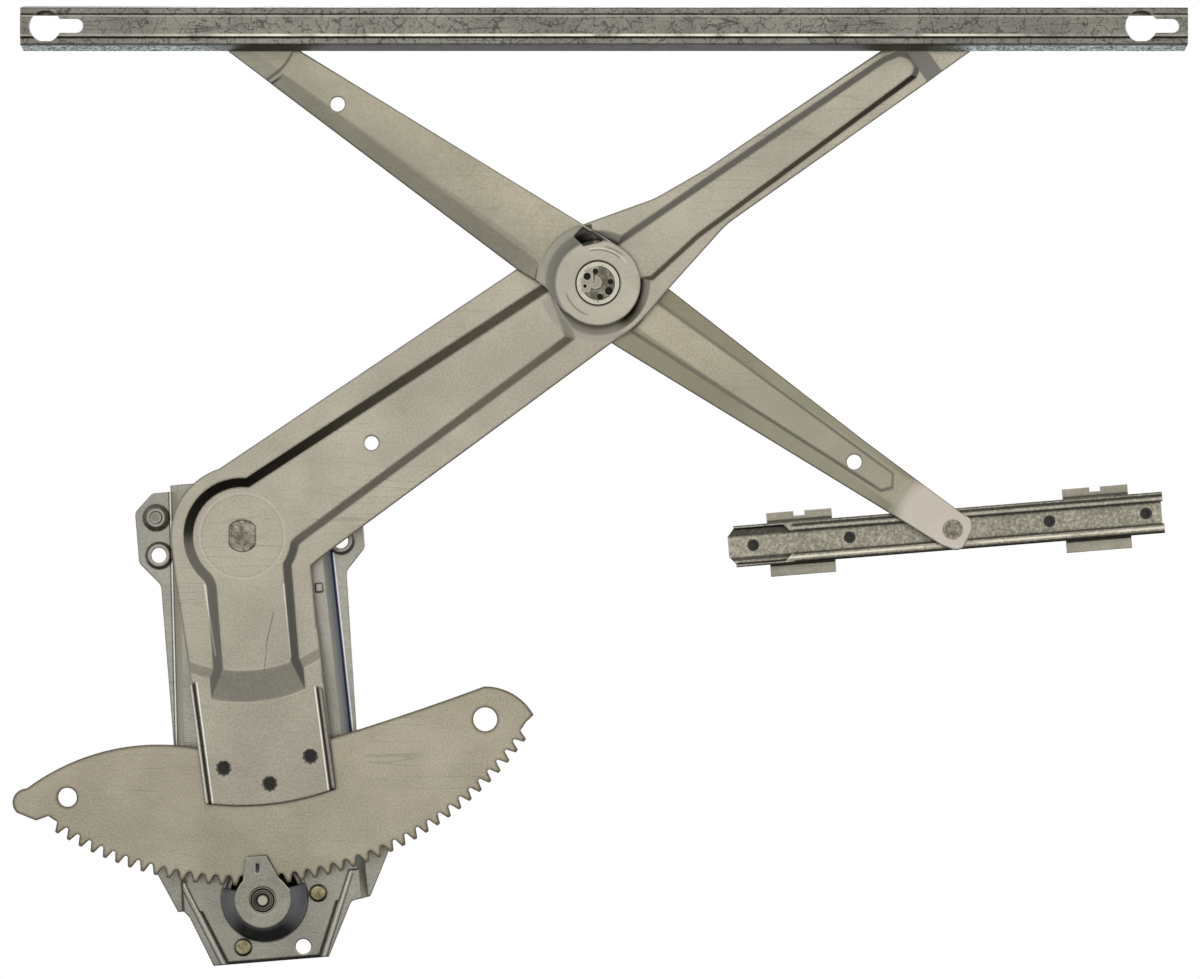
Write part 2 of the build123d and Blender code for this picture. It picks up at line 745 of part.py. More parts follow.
def rounded_corner(post, radius, back, front, flare):
    """Recess beside a rounded flange, out to its tangent points."""
    centre, first, second = post
    to_first = (first[0] - centre[0], first[1] - centre[1])
    to_second = (second[0] - centre[0], second[1] - centre[1])
    reach = 1 + (recess_wall + 1.5) / radius
    kite = 1 + (to_first[0] * to_second[0] + to_first[1] * to_second[1]) / radius ** 2
    far = ((to_first[0] + to_second[0]) / kite, (to_first[1] + to_second[1]) / kite)
    spokes = [(0, 0), to_second, far, to_first]
    wide = outline([(centre[0] + x * reach, centre[1] + z * reach) for x, z in spokes])
    return slab(wide, back, front) - frustum(centre, radius + recess_wall, radius - flare, back, front)


def recess(shift):
    """Pressed recess of the arm, open to the front; a shift gives the outer skin."""
    grow = shift * 0.55
    back = floor_y + shift
    front = leg_y - 1
    slope = recess_wall / recess_depth
    flare = slope * (arm_y + shift - front)
    pieces = []
    for spot, radius in (((0, 0), recess_radius + grow), (cross_point, cross_recess_radius + grow)):
        pieces.append(frustum(spot, radius - recess_wall, radius + flare, back, front))
    for corners in (recess_inner_arm, recess_leg):
        wide = inset(corners, -grow - flare)
        pieces.append(tapered(wide, back, front, recess_wall + flare))
    narrow_flare = narrow_wall / recess_depth * (arm_y + shift - front)
    wide = inset(recess_outer_arm, -grow - narrow_flare)
    pieces.append(tapered(wide, back, front, narrow_wall + narrow_flare))
    for post, radius in ((right_post(), post_right - grow), (left_post(), post_left - grow)):
        pieces.append(rounded_corner(post, radius, back, front, flare))
    return fuse(pieces[0], pieces[1:])


def ring_profile(points):
    """Solid of revolution about the origin from radius and depth."""
    return revolve(make_face(Polyline(*points, close=True)), Axis.Y, 360)


def leg_ramp(shift):
    """Solid behind the cone where the recess rises to the level of the lower leg."""
    ring = ring_profile([(step_radius - shift * 0.4, floor_y + shift), (ramp_end_radius, leg_y + shift),
                         (leg_radius + 20, leg_y + shift), (leg_radius + 20, floor_y + shift + 3),
                         (step_radius - shift * 0.4, floor_y + shift + 3)])
    return ring & through(level_band(-cut_reach, -40))


def arm_front_space():
    """Space in front of the flange: level along the arm, and stepped over the leg."""
    above = slab(level_band(-40, cut_reach), arm_y, cut_front)
    step = ring_profile([(0, arm_y), (step_radius, arm_y), (flange_step_end, leg_y), (leg_radius + 20, leg_y),
                         (leg_radius + 20, cut_front), (0, cut_front)])
    return above + (step & through(level_band(-cut_reach, -40)))


def lower_leg():
    """Lower leg, in front of the sector, with the flange step above it."""
    inner = step_radius - 8
    ring = ring_profile([(inner, arm_y), (step_radius, arm_y), (flange_step_end, leg_y), (leg_radius, leg_y),
                         (leg_radius, leg_y + arm_sheet), (flange_step_end, leg_y + arm_sheet),
                         (step_radius, arm_y + arm_sheet), (inner, arm_y + arm_sheet)])
    below = -leg_radius - 5
    sides = outline([*leg_left, leg_right, leg_right_low, (leg_right_low[0], below), (leg_left[0][0], below)])
    return ring & through(sides)


def leg_lips():
    """Low stiffening lips along both sides of the lower leg."""
    left = [(-25.5, -74.0), (-17.45, -134.0)]
    right = [(40.3, -76.0), (47.0, -126.0)]
    pieces = []
    for (x0, z0), (x1, z1), side in ((left[0], left[1], 1), (right[0], right[1], -1)):
        shape = outline([(x0, z0), (x0 + side * lip_sheet, z0), (x1 + side * lip_sheet, z1), (x1, z1)])
        pieces.append(slab(shape, leg_y + 0.5, leg_y - lip_height))
    return pieces


def make_main_arm():
    """Lift arm with the leg that carries the sector."""
    plate = slab(main_arm_sketch(), arm_y + arm_sheet, arm_y)
    beyond = outline([(0, 0), (cut_reach, -0.12 * cut_reach), (cut_reach, cut_reach), (-60, cut_reach),
                      (-60, 0)])
    plate = plate & through(Circle(step_radius - 4) + beyond)
    kept = slab(level_band(-89, cut_reach), panel_y, leg_y)
    skin = (recess(arm_sheet) & kept) - leg_ramp(arm_sheet) - arm_front_space()
    hollow = recess(0) - leg_ramp(0)
    body = fuse(plate + lower_leg(), leg_lips())
    body = body + skin - hollow
    body = body - tip_step_cut() + main_tip_piece()
    holes = [bore(spot, rivet_radius) for spot in rivet_points]
    holes.append(bore(arm_hole[:2], arm_hole[2]))
    holes.append(bore(cross_point, hub_radius + running_gap))
    holes.append(pivot_stub(0, panel_y, cut_front))
    holes.append(bore(main_tip, roller_bore))
    return body - fuse(holes[0], holes[1:])


def arm_axes():
    """Direction along the main arm and across it."""
    return turned(1, 0, arm_angle), turned(0, 1, arm_angle)


def along_arm(distance, side):
    """A point by its distance from the pivot along the main arm and beside it."""
    ahead, across = arm_axes()
    return (ahead[0] * distance + across[0] * side, ahead[1] * distance + across[1] * side)


def tip_step_cut():
    """Removes the flange level past the ridge."""
    start = 2 * arm_pitch - tip_start
    end = start + 60
    corners = [(start, -40), (end, -40), (end, 40), (start, 40)]
    return through(outline([along_arm(distance, side) for distance, side in corners]))


def side_profile(points, width, turn, origin):
    """Bar whose side view has the given distance and depth points."""
    face = make_face(Polyline(*points, close=True))
    bar = extrude(face, amount=width, both=True)
    return placed(origin, turn) * bar


def main_tip_piece():
    """Tip that steps towards the glass so that the roller reaches the rail."""
    start = 2 * arm_pitch - tip_start
    flat = 2 * arm_pitch - tip_flat
    end = start + 60
    bar = side_profile([(start - 0.5, arm_y), (flat, tip_y), (end, tip_y), (end, tip_y + arm_sheet),
                        (flat + 0.8, tip_y + arm_sheet), (start + 0.3, arm_y + arm_sheet),
                        (start - 0.5, arm_y + arm_sheet)], 50, arm_angle, (0, 0))
    return bar & through(main_arm_sketch())


def pivot_stub(gap, back, front):
    """Double flat stub of the main pivot shaft."""
    flats = Rectangle(2 * (pivot_flat + gap), 40)
    return slab(Circle(pivot_stub_radius + gap) & flats, back, front)


def make_pivot_shaft():
    """Main pivot shaft, staked in the arm and turning in the base plate."""
    stub = pivot_stub(0, floor_back, floor_y - 0.3)
    shoulder = rod((0, 0), pivot_shoulder_radius, base_y - bushing_flange - touch_gap, floor_back)
    journal = rod((0, 0), pivot_radius, base_back + touch_gap + pivot_washer_sheet, base_y - bushing_flange - 1)
    head = rod((0, 0), pivot_head_radius, base_back + touch_gap + pivot_washer_sheet + pivot_head_height,
               base_back + touch_gap + pivot_washer_sheet)
    return stub + shoulder + journal + head


def make_pivot_washer():
    """Washer under the riveted end of the main pivot."""
    back = base_back + touch_gap + pivot_washer_sheet
    return ring((0, 0), pivot_washer_radius, pivot_radius, back, back - pivot_washer_sheet)


# Second arm, in two halves joined by the cross hub

def front_arm_sketch():
    """Outline of the half that carries the lift rail."""
    return soft_outline(front_outline) + Pos(*cross_point) * Circle(disc_radius)


def front_profile():
    """Levels of the front half: disc, slope and arm, as a solid of revolution about the cross pivot."""
    points = [(0, disc_y), (disc_radius + 0.3, disc_y), (slope_steep_radius, slope_steep_y),
              (slope_end_radius, front_arm_y), (cut_reach, front_arm_y), (cut_reach, front_arm_y + arm_sheet),
              (slope_end_radius + 0.4, front_arm_y + arm_sheet),
              (slope_steep_radius + 0.5, slope_steep_y + arm_sheet),
              (disc_radius + 0.7, disc_y + arm_sheet), (0, disc_y + arm_sheet)]
    return Pos(cross_point[0], 0, cross_point[1]) * ring_profile(points)


def front_band():
    """Sloped band along the lower edge, as the space in front of it and the skin behind."""
    start, end = front_lower
    direction = math.degrees(math.atan2(end[1] - start[1], end[0] - start[0]))
    y0 = front_arm_y
    low = y0 + band_drop * (band_run + 20) / band_run
    cut = [(-20, y0 - 5), (band_run, y0 - 5), (band_run, y0), (-20, low)]
    skin = [(band_run, y0), (band_run, y0 + arm_sheet), (0, y0 + band_drop + arm_sheet),
            (-4, y0 + band_drop * 1.5 + arm_sheet), (-4, y0 + band_drop * 1.5)]
    solids = []
    for points in (cut, skin):
        corners = [(0, depth, side) for side, depth in points]
        face = make_face(Polyline(*[Vector(*corner) for corner in corners], close=True))
        bar = extrude(face, amount=2 * arm_pitch, dir=(1, 0, 0))
        solids.append(placed(start, direction) * Pos(-60, 0, 0) * bar)
    return solids


def make_aux_arm_front():
    """Front half of the second arm, from the cross hub to the lift rail."""
    prism = through(front_arm_sketch())
    body = front_profile() & prism
    cut, skin = front_band()
    clear = bore(cross_point, slope_end_radius + 0.5) + bore(front_tip, tip_round + 3.0)
    body = body - (cut - clear) + ((skin & prism) - clear)
    body = body - through(soft_outline(front_opening))
    tip = frustum(front_tip, tip_round + 1.5, tip_round, front_arm_y + arm_sheet, tip_y) & prism
    under = rod(front_tip, tip_round - 1.0, panel_y, tip_y + arm_sheet)
    body = (body - rod(front_tip, tip_round, panel_y, front_arm_y)) + (tip - under)
    holes = bore(cross_point, hub_radius) + bore(front_tip, roller_bore)
    return body - holes - bore(near(front_tip, [front_hole[:2]])[0], front_hole[2])


def rear_arm_sketch():
    """Outline of the half that carries the guide rail."""
    return soft_outline(rear_outline) + Pos(*cross_point) * Circle(disc_radius)


def make_aux_arm_rear():
    """Rear half of the second arm, from the cross hub to the guide rail."""
    sketch = rear_arm_sketch()
    body = slab(sketch, rear_arm_y + arm_sheet, rear_arm_y)
    start = guide_pin_pitch - rear_step
    end = start + 80
    bar = side_profile([(start, rear_arm_y), (start + 3.0, rear_tip_y), (end, rear_tip_y),
                        (end, rear_tip_y + arm_sheet), (start + 3.5, rear_tip_y + arm_sheet),
                        (start, rear_arm_y + arm_sheet)], 60, -guide_pin_angle, cross_point)
    beyond = side_profile([(start, panel_y), (start, cut_front), (end, cut_front), (end, panel_y)],
                          60, -guide_pin_angle, cross_point)
    body = (body - beyond) + (bar & through(sketch))
    body = body + (rear_emboss(0.9, 0.0) & through(sketch)) - rear_emboss(0.0, 0.9)
    holes = bore(cross_point, hub_radius - 2.0) + bore(guide_pin, roller_bore)
    return body - holes - bore(near(guide_pin, [rear_hole[:2]])[0], rear_hole[2])


def rear_emboss(proud, hollow):
    """Long low emboss of the rear half, raised towards the glass."""
    end = guide_pin_pitch - rear_step - 4.0
    corners = [(21.5, -10.9), (end - 4.5, -5.2), (end, 0.0), (end - 4.5, 6.6), (21.5, 10.4)]
    back = rear_arm_y + arm_sheet
    if hollow:
        shape = tapered(inset(corners, 0.4), back + 0.5, back - hollow, 1.2, widest_front=False)
    else:
        shape = tapered(corners, rear_arm_y + 0.2, rear_arm_y - proud, 1.2, widest_front=False)
    return placed(cross_point, -guide_pin_angle) * shape


def make_cross_hub():
    """Stepped hub that joins both halves through the main arm, with a marked face."""
    front = disc_y - 0.2
    head = rod(cross_point, hub_radius, floor_back + 0.4, front)
    neck = rod(cross_point, hub_radius - 2.0, rear_arm_y + arm_sheet, floor_back)
    groove = ring(cross_point, hub_radius + 1, hub_groove_inner, front + 0.5, front - 1)
    pit = Pos(*cross_point) * Circle(hub_pit_radius)
    for corners in (hub_comma, hub_shelf):
        pit = pit - outline(near(cross_point, corners))
    head = head + neck - groove - slab(pit, front + hub_pit_depth, front - 1)
    for x, z, radius in near(cross_point, hub_marks):
        head = head - rod((x, z), radius, front + 2 * hub_pit_depth, front - 1)
    return head


def make_cross_washer(back, front):
    """Plastic thrust washer beside the main arm."""
    return ring(cross_point, washer_radius, hub_radius + running_gap, back - touch_gap, front + touch_gap)


# Studs and rollers

def make_front_stud(point):
    """Stud that carries a roller in the lift rail."""
    tip_back = tip_y + arm_sheet
    roller_front = stud_front - roller_length - 2 * touch_gap
    collar = rod(point, stud_collar_radius, tip_y, stud_front)
    shank = rod(point, roller_bore, tip_back, roller_front)
    rivet = rod(point, stud_radius, tip_back + stud_head_height, tip_back)
    end = rod(point, stud_radius, roller_front, roller_front - retaining_head)
    return collar + shank + rivet + end


def make_guide_stud():
    """Stud that carries the roller in the guide rail."""
    roller_end = guide_roller_front + guide_roller_length + touch_gap
    head = rod(guide_pin, stud_radius, rear_tip_y, rear_tip_y - stud_head_height)
    collar = rod(guide_pin, stud_radius + 0.1, guide_roller_front - touch_gap, rear_tip_y + arm_sheet)
    shank = rod(guide_pin, roller_bore, roller_end, rear_tip_y - 0.1)
    end = rod(guide_pin, stud_radius, roller_end + 0.6, roller_end)
    return head + collar + shank + end


def make_roller(point, radius, back, front):
    """Plastic roller with a rounded tread."""
    body = rod(point, radius, back, front)
    body = fillet(body.edges().filter_by(GeomType.CIRCLE), 0.7)
    return body - bore(point, roller_bore + running_gap)


# Lift rail

def rail_sketch():
    """Section of the lift rail in height and depth."""
    front = rail_back - rail_depth
    band = front - rail_band_height
    t = rail_sheet
    outer = [(rail_band_half, band), (rail_band_half + 1.0, front), (rail_half_front, front),
             (rail_half_back, rail_back), (rail_lip_half, rail_back)]
    inner = [(rail_lip_half, rail_back - t), (rail_half_back - t - 0.3, rail_back - t),
             (rail_half_front - t, front + t), (rail_band_half + 0.7, front + t),
             (rail_band_half - 0.3, band + t)]
    half = outer + inner
    return half + [(-z, y) for z, y in reversed(half)]


def make_lift_rail():
    """Channel that carries the glass, open at the back, with two keyholes."""
    points = [Vector(rail_left, depth, main_tip[1] + height) for height, depth in rail_sketch()]
    face = make_face(Polyline(*points, close=True))
    rail = extrude(face, amount=rail_right - rail_left, dir=(1, 0, 0))
    slot_length = keyhole_slot_end + keyhole_slot_half
    for x in keyholes:
        hole = Pos(x, main_tip[1]) * Circle(keyhole_radius)
        slot = SlotOverall(slot_length, 2 * keyhole_slot_half)
        hole = hole + Pos(x + slot_length / 2 - 1, main_tip[1]) * slot
        rail = rail - slab(hole, rail_back - rail_depth / 2, cut_front)
    return rail


# Guide rail, drawn in its own frame about the guide pin

guide_spot = placed(guide_pin, guide_turn)


def guide_sketch():
    """Section of the guide rail in height and depth."""
    back = guide_seat
    t = guide_sheet
    front = guide_front
    half_outer = [(guide_half - 1.2, back), (guide_half, back - 1.2), (guide_half, front + 0.6),
                  (guide_half - 0.6, front), (guide_lip_half, front)]
    half_inner = [(guide_lip_half, front + t), (guide_half - t - 0.3, front + t),
                  (guide_half - t, back - t - 0.9), (guide_half - t - 0.9, back - t)]
    right = half_outer + half_inner
    return right + [(-z, y) for z, y in reversed(right)]


def guide_mouth():
    """Space at the left end where the lips stop and the roller goes in."""
    start = guide_left - 5
    end = guide_left + entry_length
    side = guide_half - guide_sheet
    corners = [(start, -side), (end, -side), (end + 3.5, -guide_lip_half), (end + 3.5, guide_lip_half),
               (end, side), (start, side)]
    return slab(outline(corners), guide_front + guide_sheet + 0.4, cut_front)


def guide_corner(side):
    """Clipped corner of the left end, above or below."""
    left = guide_left - 1
    right = guide_left + guide_clip
    return through(outline([(left, side * (guide_half + 1)), (right, side * (guide_half + 1)),
                            (right, side * (guide_half - 1.5)), (left, side * 4.0)]))


def make_guide_rail():
    """Channel for the guide roller, open to the glass side."""
    points = [Vector(guide_left, depth, height) for height, depth in guide_sketch()]
    face = make_face(Polyline(*points, close=True))
    rail = extrude(face, amount=guide_right - guide_left, dir=(1, 0, 0))
    rail = rail - guide_mouth() - guide_corner(-1) - guide_corner(1)
    for spot in guide_rivet_spots():
        rail = rail - bore(spot, guide_rivet_radius)
    return guide_spot * rail


def guide_rivet_spots():
    """Rivet centres along the floor of the guide rail."""
    reach = bracket_half_length - bracket_edge
    spots = []
    for centre in bracket_centres:
        spots.append((centre - reach, 0))
        spots.append((centre + reach, 0))
    return spots


def make_guide_bracket(centre):
    """Bracket behind the guide rail with a foot above and below it."""
    seat = guide_seat
    foot = seat + tab_drop
    low = -guide_half - tab_reach_down
    high = guide_half + tab_reach_up
    plate = soft_outline([
        (centre - bracket_half_length, -6.0, 2), (centre - tab_half_length - 5, -guide_half, 3),
        (centre + tab_half_length + 5, -guide_half, 3), (centre + bracket_half_length, -6.0, 2),
        (centre + bracket_half_length, 6.0, 2), (centre + tab_half_length + 5, guide_half, 3),
        (centre - tab_half_length - 5, guide_half, 3), (centre - bracket_half_length, 6.0, 2)])
    body = slab(plate, seat + bracket_sheet, seat)
    for near, far in ((guide_half - 3.0, high), (-guide_half + 3.0, low)):
        sign = 1 if far > near else -1
        profile = [(near, seat), (near + sign * 2.2, seat), (near + sign * 4.2, foot), (far, foot),
                   (far, foot + bracket_sheet), (near + sign * 3.6, foot + bracket_sheet),
                   (near + sign * 1.6, seat + bracket_sheet), (near, seat + bracket_sheet)]
        points = [Vector(centre - tab_half_length, depth, height) for height, depth in profile]
        tab = extrude(make_face(Polyline(*points, close=True)), amount=2 * tab_half_length, dir=(1, 0, 0))
        body = body + tab
    notch = outline([(centre - notch_half, high - notch_depth), (centre + notch_half, high - notch_depth),
                     (centre + notch_half, high + 2), (centre - notch_half, high + 2)])
    body = body - through(notch)
    for spot in guide_rivet_spots():
        body = body - bore(spot, guide_rivet_radius)
    return guide_spot * body


def make_guide_rivets():
    """Four hollow rivets through the guide rail and its brackets."""
    seat = guide_seat
    rivets = []
    for spot in guide_rivet_spots():
        shank = rod(spot, guide_rivet_radius, seat + bracket_sheet, seat - guide_sheet)
        head = rod(spot, guide_rivet_head, seat - guide_sheet, seat - guide_sheet - guide_rivet_height)
        tail = rod(spot, guide_rivet_head, seat + bracket_sheet + guide_rivet_height, seat + bracket_sheet)
        hollow = rod(spot, guide_rivet_radius - 0.5, seat, cut_front)
        rivets.append(guide_spot * (shank + head + tail - hollow))
    return Compound(children=rivets)


def make_rail_roller(point):
    """Roller that runs in the lift rail."""
    return make_roller(point, roller_radius, rail_roller_back, rail_roller_back - roller_length)


parts = {
    "base_plate": make_base_plate,
    "pivot_bushing": make_pivot_bushing,
    "pinion_bushing": make_pinion_bushing,
    "clutch_housing": make_clutch_housing,
    "housing_rivets": make_housing_rivets,
    "ear_stud": make_ear_stud,
    "main_arm": make_main_arm,
    "sector_gear": make_sector_gear,
    "sector_rivets": make_sector_rivets,
    "pivot_shaft": make_pivot_shaft,
    "pivot_washer": make_pivot_washer,
    "main_roller_stud": lambda: make_front_stud(main_tip),
    "pinion": make_pinion,
    "clutch_hub": make_clutch_hub,
    "wrap_spring": make_wrap_spring,
    "crank_shaft": make_crank_shaft,
    "aux_arm_front": make_aux_arm_front,
    "aux_arm_rear": make_aux_arm_rear,
    "cross_hub": make_cross_hub,
    "cross_washer_front": lambda: make_cross_washer(floor_y, disc_y + arm_sheet),
    "cross_washer_rear": lambda: make_cross_washer(rear_arm_y, floor_back),
    "aux_roller_stud": lambda: make_front_stud(front_tip),
    "guide_roller_stud": make_guide_stud,
    "main_roller": lambda: make_rail_roller(main_tip),
    "aux_roller": lambda: make_rail_roller(front_tip),
    "guide_roller": lambda: make_roller(guide_pin, guide_roller_radius,
                                        guide_roller_front + guide_roller_length, guide_roller_front),
    "lift_rail": make_lift_rail,
    "guide_rail": make_guide_rail,
    "guide_bracket_left": lambda: make_guide_bracket(bracket_centres[0]),
    "guide_bracket_right": lambda: make_guide_bracket(bracket_centres[1]),
    "guide_rivets": make_guide_rivets,
}

for name, make in parts.items():
    export_step(make(), "parts/" + name + ".step")
    print(name)
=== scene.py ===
import json
import math

import bmesh
import bpy
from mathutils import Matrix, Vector


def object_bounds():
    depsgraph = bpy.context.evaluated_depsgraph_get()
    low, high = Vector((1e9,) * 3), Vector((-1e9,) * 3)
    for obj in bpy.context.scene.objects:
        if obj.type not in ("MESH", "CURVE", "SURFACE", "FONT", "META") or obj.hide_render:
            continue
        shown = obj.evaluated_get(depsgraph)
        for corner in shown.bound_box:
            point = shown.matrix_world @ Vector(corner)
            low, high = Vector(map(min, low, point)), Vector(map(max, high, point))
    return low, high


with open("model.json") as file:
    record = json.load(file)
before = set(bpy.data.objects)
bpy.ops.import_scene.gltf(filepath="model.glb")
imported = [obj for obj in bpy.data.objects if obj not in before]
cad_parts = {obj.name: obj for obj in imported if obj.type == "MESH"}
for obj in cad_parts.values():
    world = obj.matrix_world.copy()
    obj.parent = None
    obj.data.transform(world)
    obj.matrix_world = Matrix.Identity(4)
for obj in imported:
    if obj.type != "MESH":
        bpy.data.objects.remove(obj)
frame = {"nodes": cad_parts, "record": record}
cad_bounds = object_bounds()
nodes = frame["nodes"]

# Window regulator: crossed arms, toothed sector, glass rail and guide rail.
# Metres, X to the right, Z up, Y away from the viewer, origin on the main pivot.

MM = 0.001

# Places of the CAD model in millimetres, for the marks on the metal
ARM_ANGLE = math.radians(35.355)
CROSS = (178.25, 126.45)
PIVOT = (0.0, 0.0)
PINION = (10.85, -181.85)
BASE_TURN = math.radians(4.6)
HAT_LEFT = 32.2
HAT_RIGHT = 40.7
LEFT_TAPER = 19.2 / 350
RIGHT_TAPER = -9.9 / 350
GUIDE_PIN = (356.16, 3.26)
FRONT_AUX_ANGLE = math.atan2(CROSS[1], -CROSS[0])
REAR_AUX_ANGLE = math.atan2(GUIDE_PIN[1] - CROSS[1], GUIDE_PIN[0] - CROSS[0])
RAIL_LEVEL = 252.9
STAKING_TEETH = 9
RIVETS = ((-8.65, -116.1), (14.3, -123.75), (34.6, -110.1))

# Metres
MIDDLE = (0.18, 0.0, 0.0)
FLOOR_GAP = 0.12
FLOOR_HALF = 0.75

# Colour of the floor, and of its middle as the metal mirrors it
FLOOR_PALE = (0.80, 0.80, 0.80, 1.0)
FLOOR_DARK = (0.05, 0.05, 0.05, 1.0)
# Distance from the part where the floor's dark middle starts to fade and ends, and its share at both
FLOOR_SHADE = (0.12, 0.40, 1.0, 0.15)
# Share of plain white in the floor that the camera sees
FLOOR_GLOW = 0.9

# The studio as the metal mirrors it: powers of the front and back lobes, and light from the other sides
FRONT_POWER = 2.3
BACK_POWER = 1.6
BELOW_LOSS = 0.5
ABOVE_LIGHT = 0.30
BESIDE_LIGHT = 0.36
LEAST_LIGHT = 0.02
# Plain level of the world for everything that isn't mirrored
WORLD_LIGHT = 0.45

# The photograph
CAMERA_PLACE = (0.17925, -2.068, 0.02325)
CAMERA_ANGLE = math.radians(16.66)

WHITE = (0.9, 0.88, 0.82)
BLACK = (0.012, 0.011, 0.01)


class Shader:
    """Short ways to add nodes to one material."""

    def __init__(self, name):
        self.material = bpy.data.materials.new(name)
        self.material.use_nodes = True
        self.tree = self.material.node_tree
        self.tree.nodes.clear()
        self.output = self.add("ShaderNodeOutputMaterial")
        self.surface = self.add("ShaderNodeBsdfPrincipled")
        self.tree.links.new(self.surface.outputs["BSDF"], self.output.inputs["Surface"])
        place = self.add("ShaderNodeTexCoord")
        self.place = place.outputs["Object"]
        spots = self.add("ShaderNodeSeparateXYZ")
        self.feed(spots.inputs[0], self.place)
        self.x, self.y, self.z = (self.times(output, 1 / MM) for output in spots.outputs)
        facing = self.add("ShaderNodeSeparateXYZ")
        self.feed(facing.inputs[0], place.outputs["Normal"])
        self.facing_x, self.facing_y, self.facing_z = facing.outputs
        self.painted_light_matte = None

    def add(self, kind, **settings):
        node = self.tree.nodes.new(kind)
        for key, value in settings.items():
            setattr(node, key, value)
        return node

    def feed(self, socket, value):
        """Links an output, or sets a plain value."""
        if isinstance(value, bpy.types.NodeSocket):
            self.tree.links.new(value, socket)
        elif value is not None:
            socket.default_value = value

    def math(self, operation, a, b=None):
        node = self.add("ShaderNodeMath", operation=operation)
        self.feed(node.inputs[0], a)
        self.feed(node.inputs[1], b)
        return node.outputs[0]

    def times(self, *values):
        result = values[0]
        for value in values[1:]:
            result = self.math("MULTIPLY", result, value)
        return result

    def plus(self, *values):
        result = values[0]
        for value in values[1:]:
            result = self.math("ADD", result, value)
        return result

    def most(self, *values):
        result = values[0]
        for value in values[1:]:
            result = self.math("MAXIMUM", result, value)
        return result

    def mapped(self, scale=(1, 1, 1), turn=(0, 0, 0)):
        node = self.add("ShaderNodeMapping")
        self.feed(node.inputs["Vector"], self.place)
        node.inputs["Scale"].default_value = scale
        node.inputs["Rotation"].default_value = turn
        return node.outputs[0]

    def noise(self, scale, detail=2.0, rough=0.5, vector=None, distortion=0.0):
        node = self.add("ShaderNodeTexNoise")
        self.feed(node.inputs["Vector"], vector or self.place)
        node.inputs["Scale"].default_value = scale
        node.inputs["Detail"].default_value = detail
        node.inputs["Roughness"].default_value = rough
        node.inputs["Distortion"].default_value = distortion
        return node.outputs["Fac"]

    def ramp(self, value, low, high):
        """0 below low, 1 above high. With low above high it falls instead."""
        node = self.add("ShaderNodeMapRange", interpolation_type="SMOOTHSTEP")
        self.feed(node.inputs["Value"], value)
        turned = low > high
        node.inputs["From Min"].default_value = min(low, high)
        node.inputs["From Max"].default_value = max(low, high)
        node.inputs["To Min"].default_value = 1.0 if turned else 0.0
        node.inputs["To Max"].default_value = 0.0 if turned else 1.0
        return node.outputs["Result"]

    def mix(self, amount, a, b, blend="MIX"):
        node = self.add("ShaderNodeMix", data_type="RGBA", blend_type=blend)
        self.feed(node.inputs["Factor"], amount)
        for socket, value in ((node.inputs[6], a), (node.inputs[7], b)):
            if isinstance(value, tuple):
                value = (*value, 1.0)
            self.feed(socket, value)
        return node.outputs[2]

    def band(self, value, centre, half, soft):
        """1 within half of the centre value, fading over soft."""
        return self.ramp(self.math("ABSOLUTE", self.math("SUBTRACT", value, centre)), half + soft, half)

    def between(self, value, low, high, soft):
        """1 from low to high, fading over soft outside."""
        return self.band(value, (low + high) / 2, (high - low) / 2, soft)

    def turned(self, centre, angle):
        """Millimetres along and across a line through a point, turned anticlockwise from X."""
        x = self.plus(self.x, -centre[0])
        z = self.plus(self.z, -centre[1])
        along = self.plus(self.times(x, math.cos(angle)), self.times(z, math.sin(angle)))
        across = self.plus(self.times(x, -math.sin(angle)), self.times(z, math.cos(angle)))
        return along, across

    def around(self, centre):
        """Millimetres from an axis along Y, and the angle about it in degrees."""
        x = self.plus(self.x, -centre[0])
        z = self.plus(self.z, -centre[1])
        distance = self.math("SQRT", self.plus(self.times(x, x), self.times(z, z)))
        return distance, self.times(self.math("ARCTAN2", z, x), 180 / math.pi)

    def stroke(self, start, end, width):
        """Thin straight mark between two points."""
        dx, dz = end[0] - start[0], end[1] - start[1]
        along, across = self.turned(start, math.atan2(dz, dx))
        length = math.hypot(dx, dz)
        return self.times(self.band(across, 0.0, width / 2, width), self.between(along, 0.0, length, 2.0))

    def facing_towards(self, angle):
        """1 on slopes that face a direction in the XZ plane, 0 on level sheet."""
        sideways = self.times(self.facing_x, math.cos(angle))
        return self.ramp(self.plus(sideways, self.times(self.facing_z, math.sin(angle))), 0.15, 0.5)

    def scratches(self, turn, scale, along, width):
        """Thin nearly straight lines at an angle in the XZ plane."""
        vector = self.mapped(scale=(along, 1.0, 1.0), turn=(0, turn, 0))
        lines = self.noise(scale, detail=1.0, vector=vector, distortion=0.15)
        thin = self.band(lines, 0.5, 0.0, width)
        return self.times(thin, self.ramp(self.noise(scale * 0.12, detail=1.0), 0.52, 0.62))

    def specks(self, scale, size):
        """Small round spots, on about a third of the cells."""
        cells = self.add("ShaderNodeTexVoronoi")
        self.feed(cells.inputs["Vector"], self.place)
        cells.inputs["Scale"].default_value = scale
        spot = self.ramp(cells.outputs["Distance"], size, size * 0.4)
        chosen = self.add("ShaderNodeSeparateColor")
        self.feed(chosen.inputs[0], cells.outputs["Color"])
        return self.times(spot, self.ramp(chosen.outputs[0], 0.62, 0.7))

